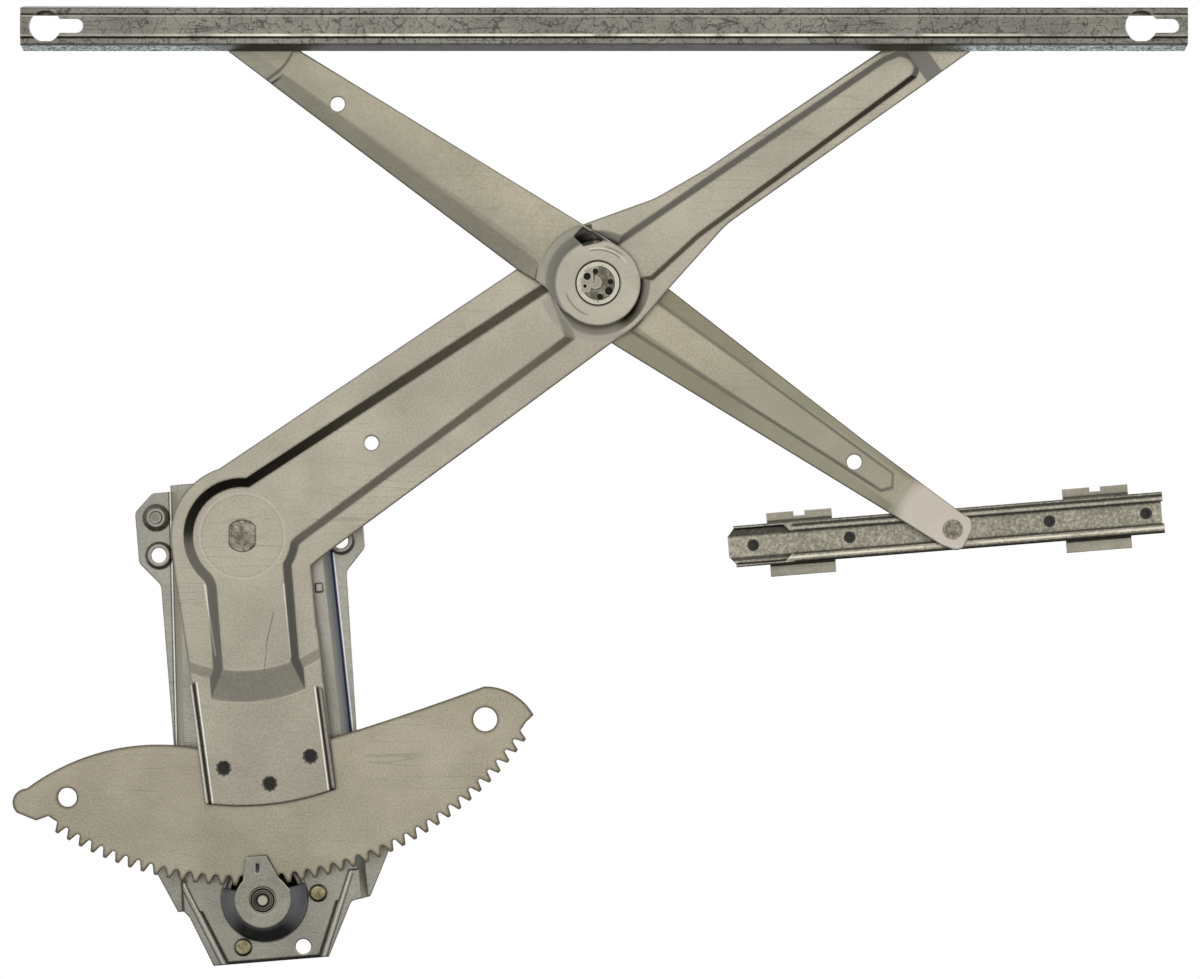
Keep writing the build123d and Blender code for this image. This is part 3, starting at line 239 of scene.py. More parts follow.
    def crackle(self, scale, width, share):
        """Short bent hair lines."""
        bend = self.add("ShaderNodeTexNoise")
        self.feed(bend.inputs["Vector"], self.place)
        bend.inputs["Scale"].default_value = scale * 1.3
        shifted = self.add("ShaderNodeVectorMath", operation="MULTIPLY_ADD")
        self.feed(shifted.inputs[0], bend.outputs["Color"])
        shifted.inputs[1].default_value = (0.9 / scale,) * 3
        self.feed(shifted.inputs[2], self.place)
        cells = self.add("ShaderNodeTexVoronoi", feature="DISTANCE_TO_EDGE")
        self.feed(cells.inputs["Vector"], shifted.outputs[0])
        cells.inputs["Scale"].default_value = scale
        thin = self.ramp(cells.outputs["Distance"], width, width * 0.2)
        return self.times(thin, self.ramp(self.noise(scale * 2.0, detail=1.0), share, share - 0.06))

    def nearness(self, reach, inside=False):
        """1 in corners, or along outer edges when inside is set."""
        shade = self.add("ShaderNodeAmbientOcclusion", samples=6, inside=inside)
        shade.inputs["Distance"].default_value = reach * MM
        return shade.outputs["AO"]


def sheet_metal(name, light, dark, metallic=0.93, roughness=0.34, soft=1.2, grain=900.0, blotch=16.0,
                scratch=0.22, speck=0.5, edge=(0.66, 0.63, 0.56), edge_amount=0.6, dirt_and_shade=(0.035, 0.032, 0.027),
                corner_shade_reach=3.5, corner_shade_amount=0.85, marks=None):
    """Worn sheet steel: blotches, grain, scratches, dirt specks, bright worn edges that also carry a painted
    highlight, and painted shade in the corners.
    The marks function adds what belongs to one piece."""
    s = Shader(name)
    blotches = s.ramp(s.noise(blotch, detail=4.0, rough=0.6), 0.32, 0.68)
    colour = s.mix(blotches, dark, light)
    grains = s.ramp(s.noise(grain), 0.25, 0.75)
    colour = s.mix(0.22, colour, s.mix(grains, (0.0, 0.0, 0.0), (1.0, 1.0, 1.0)), blend="SOFT_LIGHT")
    lines = s.most(s.scratches(0.5, 120.0, 0.05, 0.012), s.scratches(-1.1, 150.0, 0.06, 0.012))
    colour = s.mix(s.times(lines, scratch), colour, tuple(c * 0.4 for c in dark))
    colour = s.mix(s.times(s.specks(230.0, 0.1), speck), colour, dirt_and_shade)
    patchy = s.ramp(s.noise(90.0, detail=3.0), 0.3, 0.6)
    # Bright worn edges, partly real wear and partly a painted highlight; where the edge colour is dark, a
    # painted shade outline
    edge_wear_and_light = s.times(s.ramp(s.nearness(0.7, inside=True), 0.93, 0.70), patchy)
    colour = s.mix(s.times(edge_wear_and_light, edge_amount), colour, edge)
    # Painted shade: darker in corners and creases near other surfaces
    colour = s.mix(s.times(s.ramp(s.nearness(corner_shade_reach), 0.80, 0.30), corner_shade_amount), colour, dirt_and_shade)
    if marks:
        colour = marks(s, colour)
    s.feed(s.surface.inputs["Base Color"], colour)
    # The metal is turned off where the marks paint light and shade, so their painted tone shows as it is
    shiny = s.math("SUBTRACT", 1.0, s.painted_light_matte) if s.painted_light_matte else 1.0
    s.feed(s.surface.inputs["Metallic"], s.times(shiny, metallic))
    rough = s.plus(s.times(s.noise(blotch * 3, detail=3.0), 0.16), roughness - 0.08, s.times(grains, 0.06))
    s.feed(s.surface.inputs["Roughness"], rough)
    round_edge = s.add("ShaderNodeBevel", samples=8)
    round_edge.inputs["Radius"].default_value = soft * MM
    height = s.plus(s.times(grains, 0.5), s.times(lines, -0.5), s.times(s.noise(45.0), 6.0))
    bump = s.add("ShaderNodeBump")
    bump.inputs["Strength"].default_value = 0.5
    bump.inputs["Distance"].default_value = 0.00008
    s.feed(bump.inputs["Height"], height)
    s.feed(bump.inputs["Normal"], round_edge.outputs["Normal"])
    s.feed(s.surface.inputs["Normal"], bump.outputs["Normal"])
    return s.material


def arm_marks(s, colour):
    """Coined ring drawn as painted shade and highlight lines, staking round the rivets, long scratches,
    painted light and shade on the walls of the pressing and in the opening above the disc, and painted shade
    and highlight lines along the lips.
    """
    distance = s.around(PIVOT)[0]
    # Coined ring: a dark line of painted shade in its groove and a painted highlight line beside it
    colour = s.mix(s.times(s.band(distance, 20.4, 0.15, 0.4), 0.14), colour, BLACK)
    colour = s.mix(s.times(s.band(distance, 21.3, 0.2, 0.6), 0.08), colour, WHITE)
    along, across = s.turned(PIVOT, ARM_ANGLE)
    down_arm, up_arm = ARM_ANGLE - math.pi / 2, ARM_ANGLE + math.pi / 2
    # Painted shade: the walls facing down near the pivot and the walls facing up far out are darkened by
    # which way they face
    upper = s.times(s.facing_towards(down_arm), s.ramp(along, 150.0, 30.0), s.ramp(across, -5.0, 8.0))
    lower = s.times(s.facing_towards(up_arm), s.ramp(along, 235.0, 420.0))
    colour = s.mix(s.most(s.times(upper, 0.85), s.times(lower, 0.5)), colour, BLACK)
    # Painted light: the walls facing down far out get a lighter set tone
    far = s.times(s.facing_towards(down_arm), s.ramp(along, 230.0, 250.0))
    colour = s.mix(s.times(far, 0.9), colour, (0.33, 0.32, 0.28))
    hollow, turn = s.around(CROSS)
    # Painted shade in the opening above the disc
    window = s.times(s.between(hollow, 20.0, 29.5, 0.3), s.between(turn, 97.0, 118.0, 2.0))
    colour = s.mix(s.times(window, 0.85), colour, BLACK)
    # Painted light and shade: the walls of the leg, the end walls near the disc, the leg's ramp and the tip
    # ramps get set tones by which way they face
    leg_wall = s.times(s.facing_towards(0.0), s.ramp(s.z, 4.0, -10.0), s.ramp(s.x, 20.0, 0.0))
    colour = s.mix(s.times(leg_wall, 0.9), colour, (0.24, 0.23, 0.20))
    end_wall = s.times(s.facing_towards(ARM_ANGLE + math.pi), s.between(hollow, 24.0, 44.0, 3.0))
    colour = s.mix(s.times(end_wall, 0.85), colour, (0.44, 0.415, 0.345))
    right_wall = s.times(s.facing_towards(math.pi), s.ramp(s.z, 4.0, -10.0), s.ramp(s.x, 10.0, 20.0))
    colour = s.mix(s.times(right_wall, 0.9), colour, (0.158, 0.153, 0.134))
    leg_ramp = s.times(s.facing_towards(math.pi / 2), s.ramp(s.z, -50.0, -60.0))
    colour = s.mix(s.times(leg_ramp, 0.5), colour, (0.19, 0.185, 0.165))
    tip_ends = s.most(s.facing_towards(ARM_ANGLE), s.facing_towards(ARM_ANGLE + math.pi))
    tip_ramp = s.times(tip_ends, s.ramp(along, 370.0, 390.0))
    colour = s.mix(s.times(tip_ramp, 0.9), colour, (0.36, 0.345, 0.30))
    # Painted light below the disc, over the shade it casts
    below_disc = s.times(s.between(hollow, 21.0, 29.0, 1.5), s.between(turn, -155.0, -70.0, 20.0))
    colour = s.mix(s.times(below_disc, 0.7), colour, (0.54, 0.50, 0.41))
    s.painted_light_matte = s.times(s.most(far, leg_wall, right_wall, end_wall, tip_ramp, below_disc), 0.85)
    # Painted light on the lower fold
    lower_fold = s.times(s.facing_towards(up_arm), s.between(along, 30.0, 175.0, 12.0))
    colour = s.mix(s.times(lower_fold, 0.35), colour, (0.50, 0.48, 0.42))
    staking = 0.0
    for spot in RIVETS:
        reach, angle = s.around(spot)
        teeth = s.times(s.math("SINE", s.times(angle, STAKING_TEETH * math.pi / 180)), 0.3)
        gap = s.plus(1.0, s.times(s.band(reach, 3.0, 0.15, 0.2), -0.6))
        staking = s.most(staking, s.times(s.ramp(s.plus(reach, teeth), 4.2, 3.4), gap))
    colour = s.mix(s.times(staking, s.ramp(s.noise(700.0), 0.25, 0.5), 0.9), colour, (0.05, 0.05, 0.04))
    hair = s.most(s.stroke((15.6, -39.0), (12.6, -52.0), 0.25),
                  s.stroke((12.6, -52.0), (11.2, -66.0), 0.2),
                  s.stroke((-25.0, -92.0), (-24.0, -101.0), 0.2))
    # Painted shade lines in the bends beside the leg's lips
    lip_shade_lines = s.most(s.stroke((-23.4, -74.0), (-15.2, -134.5), 0.7),
                   s.stroke((38.2, -76.0), (44.9, -126.5), 0.7))
    colour = s.mix(s.most(s.times(hair, 0.55), s.times(lip_shade_lines, 0.85)), colour, BLACK)
    # Painted highlight lines along the lips and along the rims of the recess
    rims = s.most(s.stroke((-22.0, -74.0), (-13.9, -134.5), 0.3),
                  s.stroke((-25.0, -74.0), (-16.9, -134.0), 0.4),
                  s.stroke((36.9, -76.0), (43.6, -127.0), 0.3))
    recess_rims = s.most(s.stroke((-18.2, -25.0), (-13.2, -59.0), 0.4),
                         s.stroke((20.9, -25.0), (24.3, -60.0), 0.4))
    return s.mix(s.most(s.times(rims, 0.7), s.times(recess_rims, 0.45)), colour, WHITE)


def aux_marks(s, colour):
    """Dark arcs of painted shade on the disc, a painted shadow crescent and a painted glint beside them,
    painted light and shade on its slope, painted shade bands beside the ribs, painted light on the bends and
    folds, tarnish and a light rear tip.
    """
    distance, angle = s.around(CROSS)
    # Dark arcs of painted shade on the disc
    arcs = s.times(s.band(distance, 16.7, 0.18, 0.4), s.most(s.between(angle, 52.0, 100.0, 8.0),
                                                             s.between(angle, -158.0, -112.0, 8.0)))
    colour = s.mix(s.times(arcs, 0.9), colour, BLACK)
    # Painted shadow of the arm's edge on the disc, and below it a painted glint
    crescent = s.times(s.between(distance, 17.9, 19.0, 0.3), s.between(angle, 54.0, 74.0, 8.0), 0.6)
    colour = s.mix(crescent, colour, BLACK)
    glint = s.times(s.band(distance, 17.5, 0.12, 0.35), 0.35, s.between(angle, 40.0, 100.0, 10.0))
    colour = s.mix(glint, colour, WHITE)
    # Painted light and shade on the slope round the disc
    front_side = s.most(s.ramp(angle, 95.0, 115.0), s.ramp(angle, -125.0, -150.0))
    slope = s.times(s.between(distance, 21.4, 29.0, 0.8), front_side)
    colour = s.mix(s.times(slope, 0.9), colour, s.mix(s.ramp(distance, 22.0, 29.0), (0.35, 0.345, 0.295),
                                                     (0.54, 0.51, 0.42)))
    cool = s.times(s.between(distance, 0.0, 20.5, 1.0), 0.35)
    colour = s.mix(cool, colour, (0.42, 0.39, 0.35))
    tip_distance = s.around(GUIDE_PIN)[0]
    along, across = s.turned(CROSS, FRONT_AUX_ANGLE)
    front = s.ramp(along, 20.0, 45.0)
    front_bend = s.times(s.ramp(along, 145.0, 165.0), s.ramp(s.math("ABSOLUTE", s.facing_y), 0.95, 0.9))
    # Painted shade bands beside the ribs of the front arm
    colour = s.mix(s.times(s.ramp(across, -9.0, 6.0), front, 0.3), colour, (0.15, 0.145, 0.12))
    colour = s.mix(s.times(s.ramp(across, 4.8, 6.4), front, 0.4), colour, (0.13, 0.128, 0.105))
    along, across = s.turned(CROSS, REAR_AUX_ANGLE)
    # Painted shade bands beside the rib of the rear arm
    off_centre = s.math("ABSOLUTE", s.plus(across, -0.7))
    rear = s.times(s.ramp(along, 10.0, 35.0), s.ramp(tip_distance, 22.0, 34.0))
    colour = s.mix(s.times(s.ramp(off_centre, 6.4, 8.6), rear, 0.85), colour, (0.178, 0.166, 0.115))
    # Painted light on the rear arm's fold and on the front arm's bend
    fold = s.times(s.band(s.math("ABSOLUTE", s.facing_y), 0.72, 0.22, 0.04), rear)
    colour = s.mix(fold, colour, (0.37, 0.355, 0.285))
    colour = s.mix(front_bend, colour, (0.37, 0.355, 0.30))
    s.painted_light_matte = s.times(s.most(slope, fold, front_bend), 0.85)
    colour = s.mix(s.times(s.ramp(tip_distance, 34.0, 24.0), 0.7), colour, (0.50, 0.45, 0.40))
    beyond = s.ramp(s.x, CROSS[0] + 20.0, CROSS[0] + 45.0)
    olive = s.times(s.ramp(s.noise(11.0, detail=3.0), 0.4, 0.62), s.ramp(tip_distance, 30.0, 50.0), 0.6)
    return s.mix(s.times(olive, s.plus(s.times(beyond, 0.7), 0.3)), colour, (0.245, 0.235, 0.175))


def sector_marks(s, colour):
    """Blotchy brown darkening under the leg, brown cut edges that are partly the cut metal's colour and
    partly painted shade, and a dark outline of painted shade.
    """
    shade = s.times(s.ramp(s.noise(14.0, detail=3.0), 0.45, 0.7), s.between(s.x, -40.0, 60.0, 40.0), 0.45)
    colour = s.mix(shade, colour, (0.24, 0.215, 0.155))
    # Cut edges: partly the cut metal's brown and partly painted shade, with a dark outline of painted shade
    cut = s.ramp(s.math("ABSOLUTE", s.facing_y), 0.6, 0.3)
    rim = s.ramp(s.nearness(2.0, inside=True), 0.90, 0.70)
    return s.mix(s.times(s.most(cut, rim), 0.8), colour, (0.075, 0.058, 0.036))


def rail_marks(s, colour):
    """Crackled coat, painted highlight and shade lines along the folds, and a zinc lower flange, lightened at
    the ends as painted light and darkened in the middle as a painted shadow of the arms.
    """
    level = s.plus(s.z, -RAIL_LEVEL)
    front = s.ramp(s.y, -30.0, -37.0)
    cracks = s.most(s.crackle(110.0, 0.045, 0.56), s.crackle(210.0, 0.06, 0.51))
    colour = s.mix(s.times(cracks, 0.7), colour, (0.035, 0.033, 0.03))
    middle = s.plus(s.times(s.between(s.x, 40.0, 330.0, 110.0), 0.6), 0.15)
    broken = s.ramp(s.noise(60.0, detail=3.0), 0.25, 0.6)
    # Painted highlight lines along the folds
    shine = s.times(s.band(level, -4.6, 0.22, 0.7), middle, broken, front)
    colour = s.mix(shine, colour, (0.85, 0.80, 0.66))
    colour = s.mix(s.times(s.band(level, 4.9, 0.1, 0.35), front, 0.45), colour, (0.6, 0.58, 0.52))
    # Painted shade lines along the folds
    folds = s.most(s.band(level, -5.7, 0.22, 0.45), s.times(s.band(level, 6.0, 0.15, 0.5), 0.6),
                   s.band(level, -9.1, 0.35, 0.4), s.times(s.band(level, 9.0, 0.2, 0.4), 0.8))
    colour = s.mix(s.times(folds, s.ramp(s.y, -30.0, -36.5), 0.7), colour, BLACK)
    # Lower flange: zinc spangle lightened at the ends as painted light
    under = s.times(s.ramp(level, -9.3, -9.7), s.ramp(s.facing_z, -0.1, -0.3))
    flakes = s.ramp(s.noise(430.0, detail=3.0, rough=0.75, distortion=1.5), 0.45, 0.56)
    zinc = s.mix(flakes, (0.05, 0.07, 0.08), (0.85, 0.95, 0.96))
    ends = s.most(s.ramp(s.x, 5.0, -25.0), s.ramp(s.x, 335.0, 372.0))
    s.painted_light_matte = s.times(under, ends, 0.7)
    colour = s.mix(s.times(under, ends), colour, zinc)
    # Painted shadow of the arms in the middle of the lower flange
    return s.mix(s.times(under, s.math("SUBTRACT", 1.0, ends), 0.5), colour, BLACK)


def guide_marks(s, colour):
    """Zinc flakes on the floor, painted highlight and shade lines along the lips, and painted shadow under
    the lips.
    """
    along, across = s.turned(GUIDE_PIN, BASE_TURN)
    flakes = s.noise(620.0, detail=3.0, rough=0.7)
    colour = s.mix(s.times(s.ramp(flakes, 0.52, 0.62), 0.5), colour, (0.50, 0.48, 0.40))
    colour = s.mix(s.times(s.ramp(flakes, 0.44, 0.36), 0.6), colour, (0.10, 0.095, 0.08))
    lip = s.ramp(s.y, -7.0, -8.4)
    beyond = s.ramp(along, -82.0, -79.0)
    # Painted highlight lines along the lips
    shine = s.most(s.band(across, -7.6, 0.25, 0.5), s.times(s.band(across, 7.0, 0.15, 0.4), 0.25))
    broken = s.ramp(s.noise(80.0, detail=3.0), 0.2, 0.55)
    colour = s.mix(s.times(shine, lip, 0.75, broken), colour, (0.75, 0.70, 0.58))
    # Painted shade lines along the lips and the outer edges
    dark = s.most(s.band(across, -5.9, 0.2, 0.35), s.band(across, 5.9, 0.2, 0.35),
                  s.band(across, 8.6, 0.5, 0.5), s.band(across, -9.6, 0.5, 0.4))
    colour = s.mix(s.times(dark, lip, beyond, 0.85), colour, BLACK)
    # Painted shadow under the lips
    shade = s.most(s.band(across, 7.2, 1.8, 1.5), s.band(across, -6.4, 0.5, 0.9))
    return s.mix(s.times(s.ramp(s.y, -4.5, -3.2), shade, 0.8), colour, BLACK)


def base_marks(s, colour):
    """Painted highlight and shade lines along the foot of the hat, painted light and shade on its walls,
    painted shade and highlight lines on the strips of the foot, and painted shade and light on the side of
    the dome.
    """
    along, across = s.turned(PIVOT, BASE_TURN)
    rise = s.plus(90.0, s.times(across, -1.0))
    left = s.plus(along, HAT_LEFT, s.times(rise, LEFT_TAPER))
    right = s.plus(along, -HAT_RIGHT, s.times(rise, RIGHT_TAPER))
    upper = s.ramp(across, -172.0, -166.0)
    raised = s.ramp(s.y, -2.2, -2.8)
    # Painted light and shade on the walls of the hat: lighter left wall, darker right wall
    left_wall = s.times(s.between(left, 0.3, 4.7, 0.3), upper, raised)
    right_wall = s.times(s.between(right, -4.7, -0.3, 0.3), upper, raised)
    s.painted_light_matte = s.times(s.most(left_wall, right_wall), 0.9)
    colour = s.mix(s.times(left_wall, 0.95), colour, (0.56, 0.52, 0.40))
    colour = s.mix(s.times(right_wall, 0.95), colour, s.mix(s.ramp(right, -4.6, -1.2), (0.40, 0.38, 0.34),
                                                           (0.22, 0.25, 0.30)))
    # Painted highlight lines along the foot of the walls, and painted shade lines beside them
    white = s.most(s.band(left, 0.15, 0.08, 0.25), s.times(s.band(right, 0.5, 0.1, 0.3), 0.8))
    colour = s.mix(s.times(white, upper, 0.8), colour, (0.80, 0.80, 0.78))
    colour = s.mix(s.times(s.band(left, -0.6, 0.12, 0.25), upper, 0.75), colour, BLACK)
    colour = s.mix(s.times(s.band(right, -0.55, 0.35, 0.35), upper, 0.95), colour, (0.012, 0.014, 0.06))
    # Painted shade lines and painted highlight lines along the folds of the foot
    strips = s.most(s.stroke((-31.6, -176.0), (-11.0, -216.0), 0.3),
                    s.stroke((54.8, -170.5), (41.6, -212.5), 0.3))
    colour = s.mix(s.times(strips, 0.75), colour, BLACK)
    rims = s.most(s.stroke((-30.0, -175.0), (-9.4, -216.0), 0.4),
                  s.stroke((53.9, -169.0), (40.2, -212.5), 0.4))
    colour = s.mix(s.times(rims, 0.55), colour, (0.62, 0.60, 0.52))
    # Painted shade and light on the side of the dome: black at the bottom and top, lighter at the flanks, the
    # outer rim and near the cap
    distance = s.around(PINION)[0]
    dome = s.times(s.between(distance, 14.2, 22.0, 0.2), s.ramp(s.y, -10.3, -10.9), s.ramp(s.y, -22.7, -22.3))
    flank = s.ramp(s.math("DIVIDE", s.math("ABSOLUTE", s.plus(s.x, -PINION[0])), distance), 0.55, 0.98)
    cloud = s.plus(s.times(s.noise(70.0, detail=3.0), 0.9), 0.4)
    side = s.mix(s.times(flank, cloud), (0.014, 0.014, 0.016), (0.23, 0.235, 0.25))
    side = s.mix(s.times(s.band(distance, 21.2, 0.3, 0.8), flank, 0.4), side, (0.30, 0.31, 0.33))
    side = s.mix(s.times(s.ramp(distance, 16.4, 14.4), 0.45), side, (0.20, 0.20, 0.20))
    s.painted_light_matte = s.most(s.painted_light_matte, s.times(dome, 0.8))
    return s.mix(s.times(dome, 0.95), colour, side)


def pinion_marks(s, colour):
    """Bright turned rings on the journal."""
    distance = s.around(PINION)[0]
    rings = s.most(s.ramp(distance, 2.5, 2.2), s.times(s.band(distance, 3.6, 0.15, 0.25), 0.3))
    colour = s.mix(s.times(rings, s.ramp(s.y, -22.4, -22.7), 0.95), colour, (0.42, 0.41, 0.33))
    gleam = s.times(s.ramp(s.noise(380.0, detail=2.0), 0.56, 0.66), s.ramp(distance, 5.0, 7.0))
    return s.mix(s.times(gleam, 0.7), colour, (0.75, 0.75, 0.72))


def bushing_marks(s, colour):
    """Dark groove of painted shade, painted shade around it, and a light ring on the pinion bushing."""
    distance = s.around(PINION)[0]
    near = s.ramp(distance, 9.0, 8.0)
    # Painted shade in the groove and around the bushing
    groove = s.most(s.between(distance, 3.8, 6.0, 0.15), s.ramp(distance, 6.35, 6.55))
    colour = s.mix(s.times(near, groove, 0.97), colour, BLACK)
    return s.mix(s.times(near, s.band(distance, 5.0, 0.15, 0.25), 0.3), colour, (0.42, 0.41, 0.33))


def hub_marks(s, colour):
    """Staked face of the cross hub: dark groove of painted shade round it, light rim, grit, painted shade in
    the sunken middle, and punch marks painted black as shade.
    """
    distance = s.around(CROSS)[0]
    face = s.ramp(s.y, -16.5, -17.3)
    colour = s.mix(s.times(face, s.between(distance, 8.6, 10.6, 0.2), 0.75), colour, (0.50, 0.48, 0.40))
    # Painted shade in the gap round the hub
    colour = s.mix(s.times(s.ramp(distance, 10.6, 10.8), s.ramp(s.y, -16.0, -17.0)), colour, BLACK)
    # Painted shade in the sunken middle, broken up by noise
    sunk = s.times(s.ramp(distance, 8.7, 8.4), s.between(s.y, -18.3, -17.2, 0.12))
    sunk_shade_patches = s.ramp(s.noise(260.0, detail=3.0, distortion=0.8), 0.25, 0.6)
    colour = s.mix(s.times(sunk, sunk_shade_patches, 0.95), colour, (0.085, 0.078, 0.052))
    grit = s.times(s.ramp(s.noise(900.0, detail=2.0), 0.56, 0.66), s.between(distance, 8.3, 9.5, 0.3))
    colour = s.mix(s.times(grit, face, 0.7), colour, (0.08, 0.07, 0.045))
    # Punch marks painted black as shade
    holes = s.times(s.ramp(distance, 9.2, 9.0), s.ramp(s.y, -17.75, -17.55))
    colour = s.mix(holes, colour, BLACK)
    raised = s.times(s.ramp(distance, 8.7, 8.4), s.ramp(s.y, -18.45, -18.6))
    return s.mix(s.times(raised, 0.5), colour, (0.30, 0.28, 0.22))


def rivet_marks(s, colour):
    """Tarnished streaks on the rivet heads, and painted shade on the sides that face down."""
    streak = s.ramp(s.noise(240.0, detail=4.0, distortion=0.8), 0.45, 0.62)
    colour = s.mix(s.times(streak, 0.6), colour, (0.10, 0.085, 0.045))
    # Painted shade on the sides that face down
    return s.mix(s.times(s.facing_towards(-math.pi / 2), 0.8), colour, BLACK)


def shaft_marks(s, colour):
    """Rough grey-brown end of the main pivot."""
    patches = s.ramp(s.noise(420.0, detail=4.0, rough=0.7), 0.40, 0.62)
    colour = s.mix(s.times(patches, 0.8), colour, (0.085, 0.07, 0.05))
    return s.mix(s.times(s.specks(900.0, 0.4), 0.6), colour, (0.42, 0.39, 0.33))


def plastic(name, colour, shade):
    """Slightly uneven moulded plastic."""
    s = Shader(name)
    tone = s.mix(s.ramp(s.noise(70.0, detail=3.0), 0.3, 0.7), shade, colour)
    s.feed(s.surface.inputs["Base Color"], tone)
    s.surface.inputs["Metallic"].default_value = 0.0
    s.feed(s.surface.inputs["Roughness"], s.plus(s.times(s.noise(400.0), 0.2), 0.35))
    bump = s.add("ShaderNodeBump")
    bump.inputs["Strength"].default_value = 0.3
    bump.inputs["Distance"].default_value = 0.00005
    s.feed(bump.inputs["Height"], s.noise(1500.0))
    round_edge = s.add("ShaderNodeBevel", samples=4)
    round_edge.inputs["Radius"].default_value = 0.3 * MM
    s.feed(bump.inputs["Normal"], round_edge.outputs["Normal"])
    s.feed(s.surface.inputs["Normal"], bump.outputs["Normal"])
    return s.material


materials = {
    "base_steel": sheet_metal("base_steel", (0.33, 0.317, 0.268), (0.243, 0.231, 0.196), marks=base_marks),
    "arm_steel": sheet_metal("arm_steel", (0.352, 0.324, 0.258), (0.295, 0.271, 0.217), soft=1.9,
                             marks=arm_marks),
    "aux_steel": sheet_metal("aux_steel", (0.348, 0.316, 0.24), (0.278, 0.257, 0.192), soft=1.5,
                             corner_shade_amount=0.65, marks=aux_marks),
    "sector_steel": sheet_metal("sector_steel", (0.375, 0.34, 0.262), (0.302, 0.276, 0.205), soft=0.4,
                                edge=(0.05, 0.04, 0.028), edge_amount=0.8, marks=sector_marks),
    "rail_steel": sheet_metal("rail_steel", (0.205, 0.2, 0.168), (0.148, 0.143, 0.12), soft=0.8, scratch=0.8,
                              blotch=40.0, corner_shade_amount=0.4, marks=rail_marks),
    "guide_steel": sheet_metal("guide_steel", (0.30, 0.277, 0.215), (0.21, 0.197, 0.152), soft=0.6,
                               marks=guide_marks),
    "rivet_steel": sheet_metal("rivet_steel", (0.42, 0.38, 0.24), (0.25, 0.22, 0.12), soft=0.5, blotch=220.0,
                               marks=rivet_marks),
    "dark_steel": sheet_metal("dark_steel", (0.022, 0.02, 0.018), (0.01, 0.01, 0.01), metallic=0.6, soft=0.3,
                              edge_amount=0.02),
    "shaft_steel": sheet_metal("shaft_steel", (0.30, 0.27, 0.22), (0.19, 0.165, 0.13), soft=0.4, blotch=160.0,
                               marks=shaft_marks),
    "bushing_metal": sheet_metal("bushing_metal", (0.30, 0.26, 0.19), (0.16, 0.14, 0.10), soft=0.3,
                                 marks=bushing_marks),
    "washer_plastic": plastic("washer_plastic", (0.55, 0.53, 0.47), (0.45, 0.43, 0.37)),
    "roller_plastic": plastic("roller_plastic", (0.62, 0.60, 0.54), (0.52, 0.50, 0.44)),
}

# Pieces that look unlike the rest of their slot
own_materials = {
    "pinion": sheet_metal("pinion_steel", (0.035, 0.032, 0.03), (0.012, 0.012, 0.012), soft=0.3,
                          edge_amount=0.25, marks=pinion_marks),
    "cross_hub": sheet_metal("hub_steel", (0.26, 0.24, 0.19), (0.15, 0.14, 0.105), soft=0.3, blotch=120.0,
                             marks=hub_marks),
    "ear_stud": sheet_metal("stud_steel", (0.27, 0.25, 0.21), (0.16, 0.15, 0.125), soft=0.4, blotch=180.0),
    "guide_bracket_left": sheet_metal("bracket_steel", (0.30, 0.28, 0.225), (0.24, 0.225, 0.18), soft=0.8),
}
own_materials["guide_bracket_right"] = own_materials["guide_bracket_left"]

for part in frame["record"]["subparts"]:
    mesh = nodes[part["node"]].data
    mesh.materials.clear()
    mesh.materials.append(own_materials.get(part["node"]) or materials[part["material_slot"]])


def calculator(tree):
    """A function that adds one step of arithmetic to a node tree."""
    def calc(operation, a, b=None):
        node = tree.nodes.new("ShaderNodeMath")
        node.operation = operation
        for socket, value in zip(node.inputs, (a, b)):
            if isinstance(value, bpy.types.NodeSocket):
                tree.links.new(value, socket)
            elif value is not None:
                socket.default_value = value
        return node.outputs[0]

    return calc


def add_floor():
    """Plain pale floor below the part. To the metal its middle is dark, so that under sides stay deep."""
    level = cad_bounds[0][2] - FLOOR_GAP
    bm = bmesh.new()
    corners = ((-1, -1), (1, -1), (1, 1), (-1, 1))
    bm.faces.new([bm.verts.new((MIDDLE[0] + x * FLOOR_HALF, y * FLOOR_HALF, level)) for x, y in corners])
    mesh = bpy.data.meshes.new("floor")
    bm.to_mesh(mesh)
    bm.free()
    floor = bpy.data.objects.new("floor", mesh)
    bpy.context.scene.collection.objects.link(floor)
    material = bpy.data.materials.new("floor_white")
    material.use_nodes = True
    tree = material.node_tree
    tree.nodes.clear()
    calc = calculator(tree)
    output = tree.nodes.new("ShaderNodeOutputMaterial")
    plain = tree.nodes.new("ShaderNodeBsdfDiffuse")
    seen = tree.nodes.new("ShaderNodeLightPath")
    tone = tree.nodes.new("ShaderNodeMix")
    tone.data_type = "RGBA"
    tone.inputs[6].default_value = FLOOR_PALE
    tone.inputs[7].default_value = FLOOR_DARK
    place = tree.nodes.new("ShaderNodeSeparateXYZ")
    tree.links.new(tree.nodes.new("ShaderNodeTexCoord").outputs["Object"], place.inputs[0])
    dark = tree.nodes.new("ShaderNodeMapRange")
    for name, value in zip(("From Min", "From Max", "To Min", "To Max"), FLOOR_SHADE):
        dark.inputs[name].default_value = value
    tree.links.new(calc("ABSOLUTE", place.outputs["Y"]), dark.inputs["Value"])
    mirrored = calc("MULTIPLY", seen.outputs["Is Glossy Ray"], dark.outputs["Result"])
    tree.links.new(mirrored, tone.inputs["Factor"])
    tree.links.new(tone.outputs[2], plain.inputs["Color"])
    glow = tree.nodes.new("ShaderNodeEmission")
    glow.inputs["Color"].default_value = (1.0, 1.0, 1.0, 1.0)
    both = tree.nodes.new("ShaderNodeMixShader")
    tree.links.new(calc("MULTIPLY", seen.outputs["Is Camera Ray"], FLOOR_GLOW), both.inputs[0])
    tree.links.new(plain.outputs[0], both.inputs[1])
    tree.links.new(glow.outputs[0], both.inputs[2])
    tree.links.new(both.outputs[0], output.inputs["Surface"])
    mesh.materials.append(material)


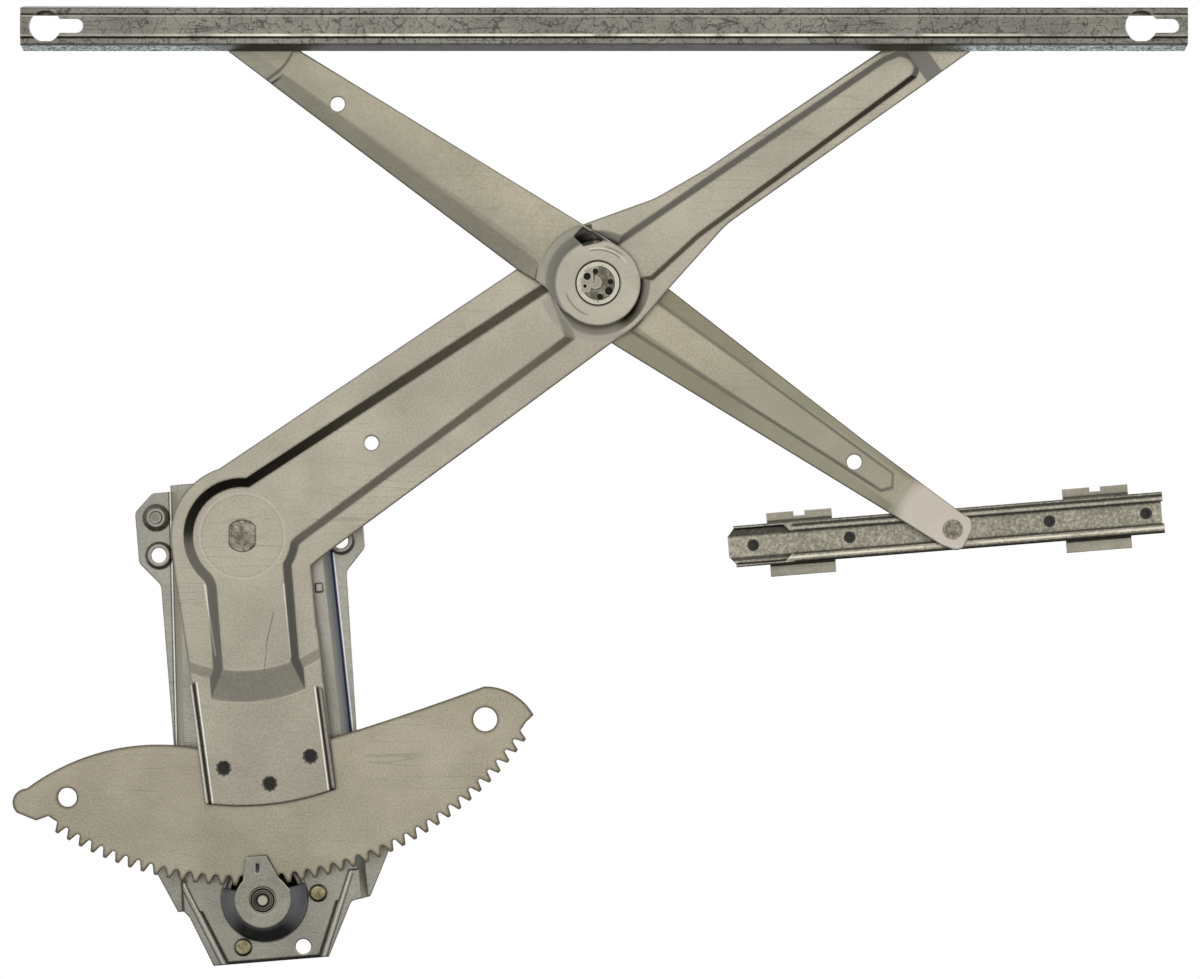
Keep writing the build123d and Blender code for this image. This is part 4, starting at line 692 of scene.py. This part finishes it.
def add_world():
    """White behind the part. The metal mirrors a studio that is bright in front and dark below."""
    world = bpy.data.worlds.new("studio")
    bpy.context.scene.world = world
    world.use_nodes = True
    tree = world.node_tree
    tree.nodes.clear()
    calc = calculator(tree)
    output = tree.nodes.new("ShaderNodeOutputWorld")
    sky = tree.nodes.new("ShaderNodeBackground")
    tree.links.new(sky.outputs[0], output.inputs["Surface"])
    ray = tree.nodes.new("ShaderNodeLightPath")
    direction = tree.nodes.new("ShaderNodeSeparateXYZ")
    tree.links.new(tree.nodes.new("ShaderNodeTexCoord").outputs["Generated"], direction.inputs[0])
    front = calc("POWER", calc("MAXIMUM", calc("MULTIPLY", direction.outputs["Y"], -1.0), 0.0), FRONT_POWER)
    back = calc("POWER", calc("MAXIMUM", direction.outputs["Y"], 0.0), BACK_POWER)
    ahead = calc("ADD", front, back)
    above = calc("MAXIMUM", direction.outputs["Z"], 0.0)
    below = calc("MAXIMUM", calc("MULTIPLY", direction.outputs["Z"], -1.0), 0.0)
    beside = calc("ABSOLUTE", direction.outputs["X"])
    level = calc("MULTIPLY", ahead, calc("SUBTRACT", 1.0, calc("MULTIPLY", below, BELOW_LOSS)))
    level = calc("ADD", level, calc("MULTIPLY", above, ABOVE_LIGHT))
    level = calc("ADD", level, calc("MULTIPLY", beside, BESIDE_LIGHT))
    mirrored = calc("MINIMUM", calc("ADD", level, LEAST_LIGHT), 1.0)
    direct = calc("MAXIMUM", ray.outputs["Is Camera Ray"], ray.outputs["Is Transmission Ray"])
    glossy = ray.outputs["Is Glossy Ray"]
    shown = calc("ADD", direct, calc("MULTIPLY", glossy, mirrored))
    hidden = calc("SUBTRACT", 1.0, calc("MAXIMUM", direct, glossy))
    strength = calc("ADD", calc("MINIMUM", shown, 1.0), calc("MULTIPLY", hidden, WORLD_LIGHT))
    tree.links.new(strength, sky.inputs["Strength"])
    sky.inputs["Color"].default_value = (1.0, 1.0, 1.0, 1.0)


def add_light(name, place, size, power):
    """Soft square lamp aimed at the middle of the part."""
    data = bpy.data.lights.new(name, "AREA")
    data.shape = "RECTANGLE"
    data.size = data.size_y = size
    data.energy = power
    lamp = bpy.data.objects.new(name, data)
    bpy.context.scene.collection.objects.link(lamp)
    lamp.location = place
    lamp.rotation_euler = (Vector(MIDDLE) - Vector(place)).to_track_quat("-Z", "Y").to_euler()


def add_camera():
    """Camera of the photograph."""
    data = bpy.data.cameras.new("camera")
    data.sensor_fit = "HORIZONTAL"
    data.angle = CAMERA_ANGLE
    camera = bpy.data.objects.new("camera", data)
    bpy.context.scene.collection.objects.link(camera)
    camera.location = CAMERA_PLACE
    camera.rotation_euler = (math.radians(90), 0, 0)
    bpy.context.scene.camera = camera


add_floor()
add_world()
add_light("key", (-0.35, -2.5, 0.4), 1.5, 6.2)
add_light("fill", (1.1, -2.4, 0.2), 1.2, 3.6)
add_light("back", (0.4, 1.8, 1.2), 1.4, 12.0)
add_camera()
bpy.context.scene.view_settings.view_transform = "Standard"
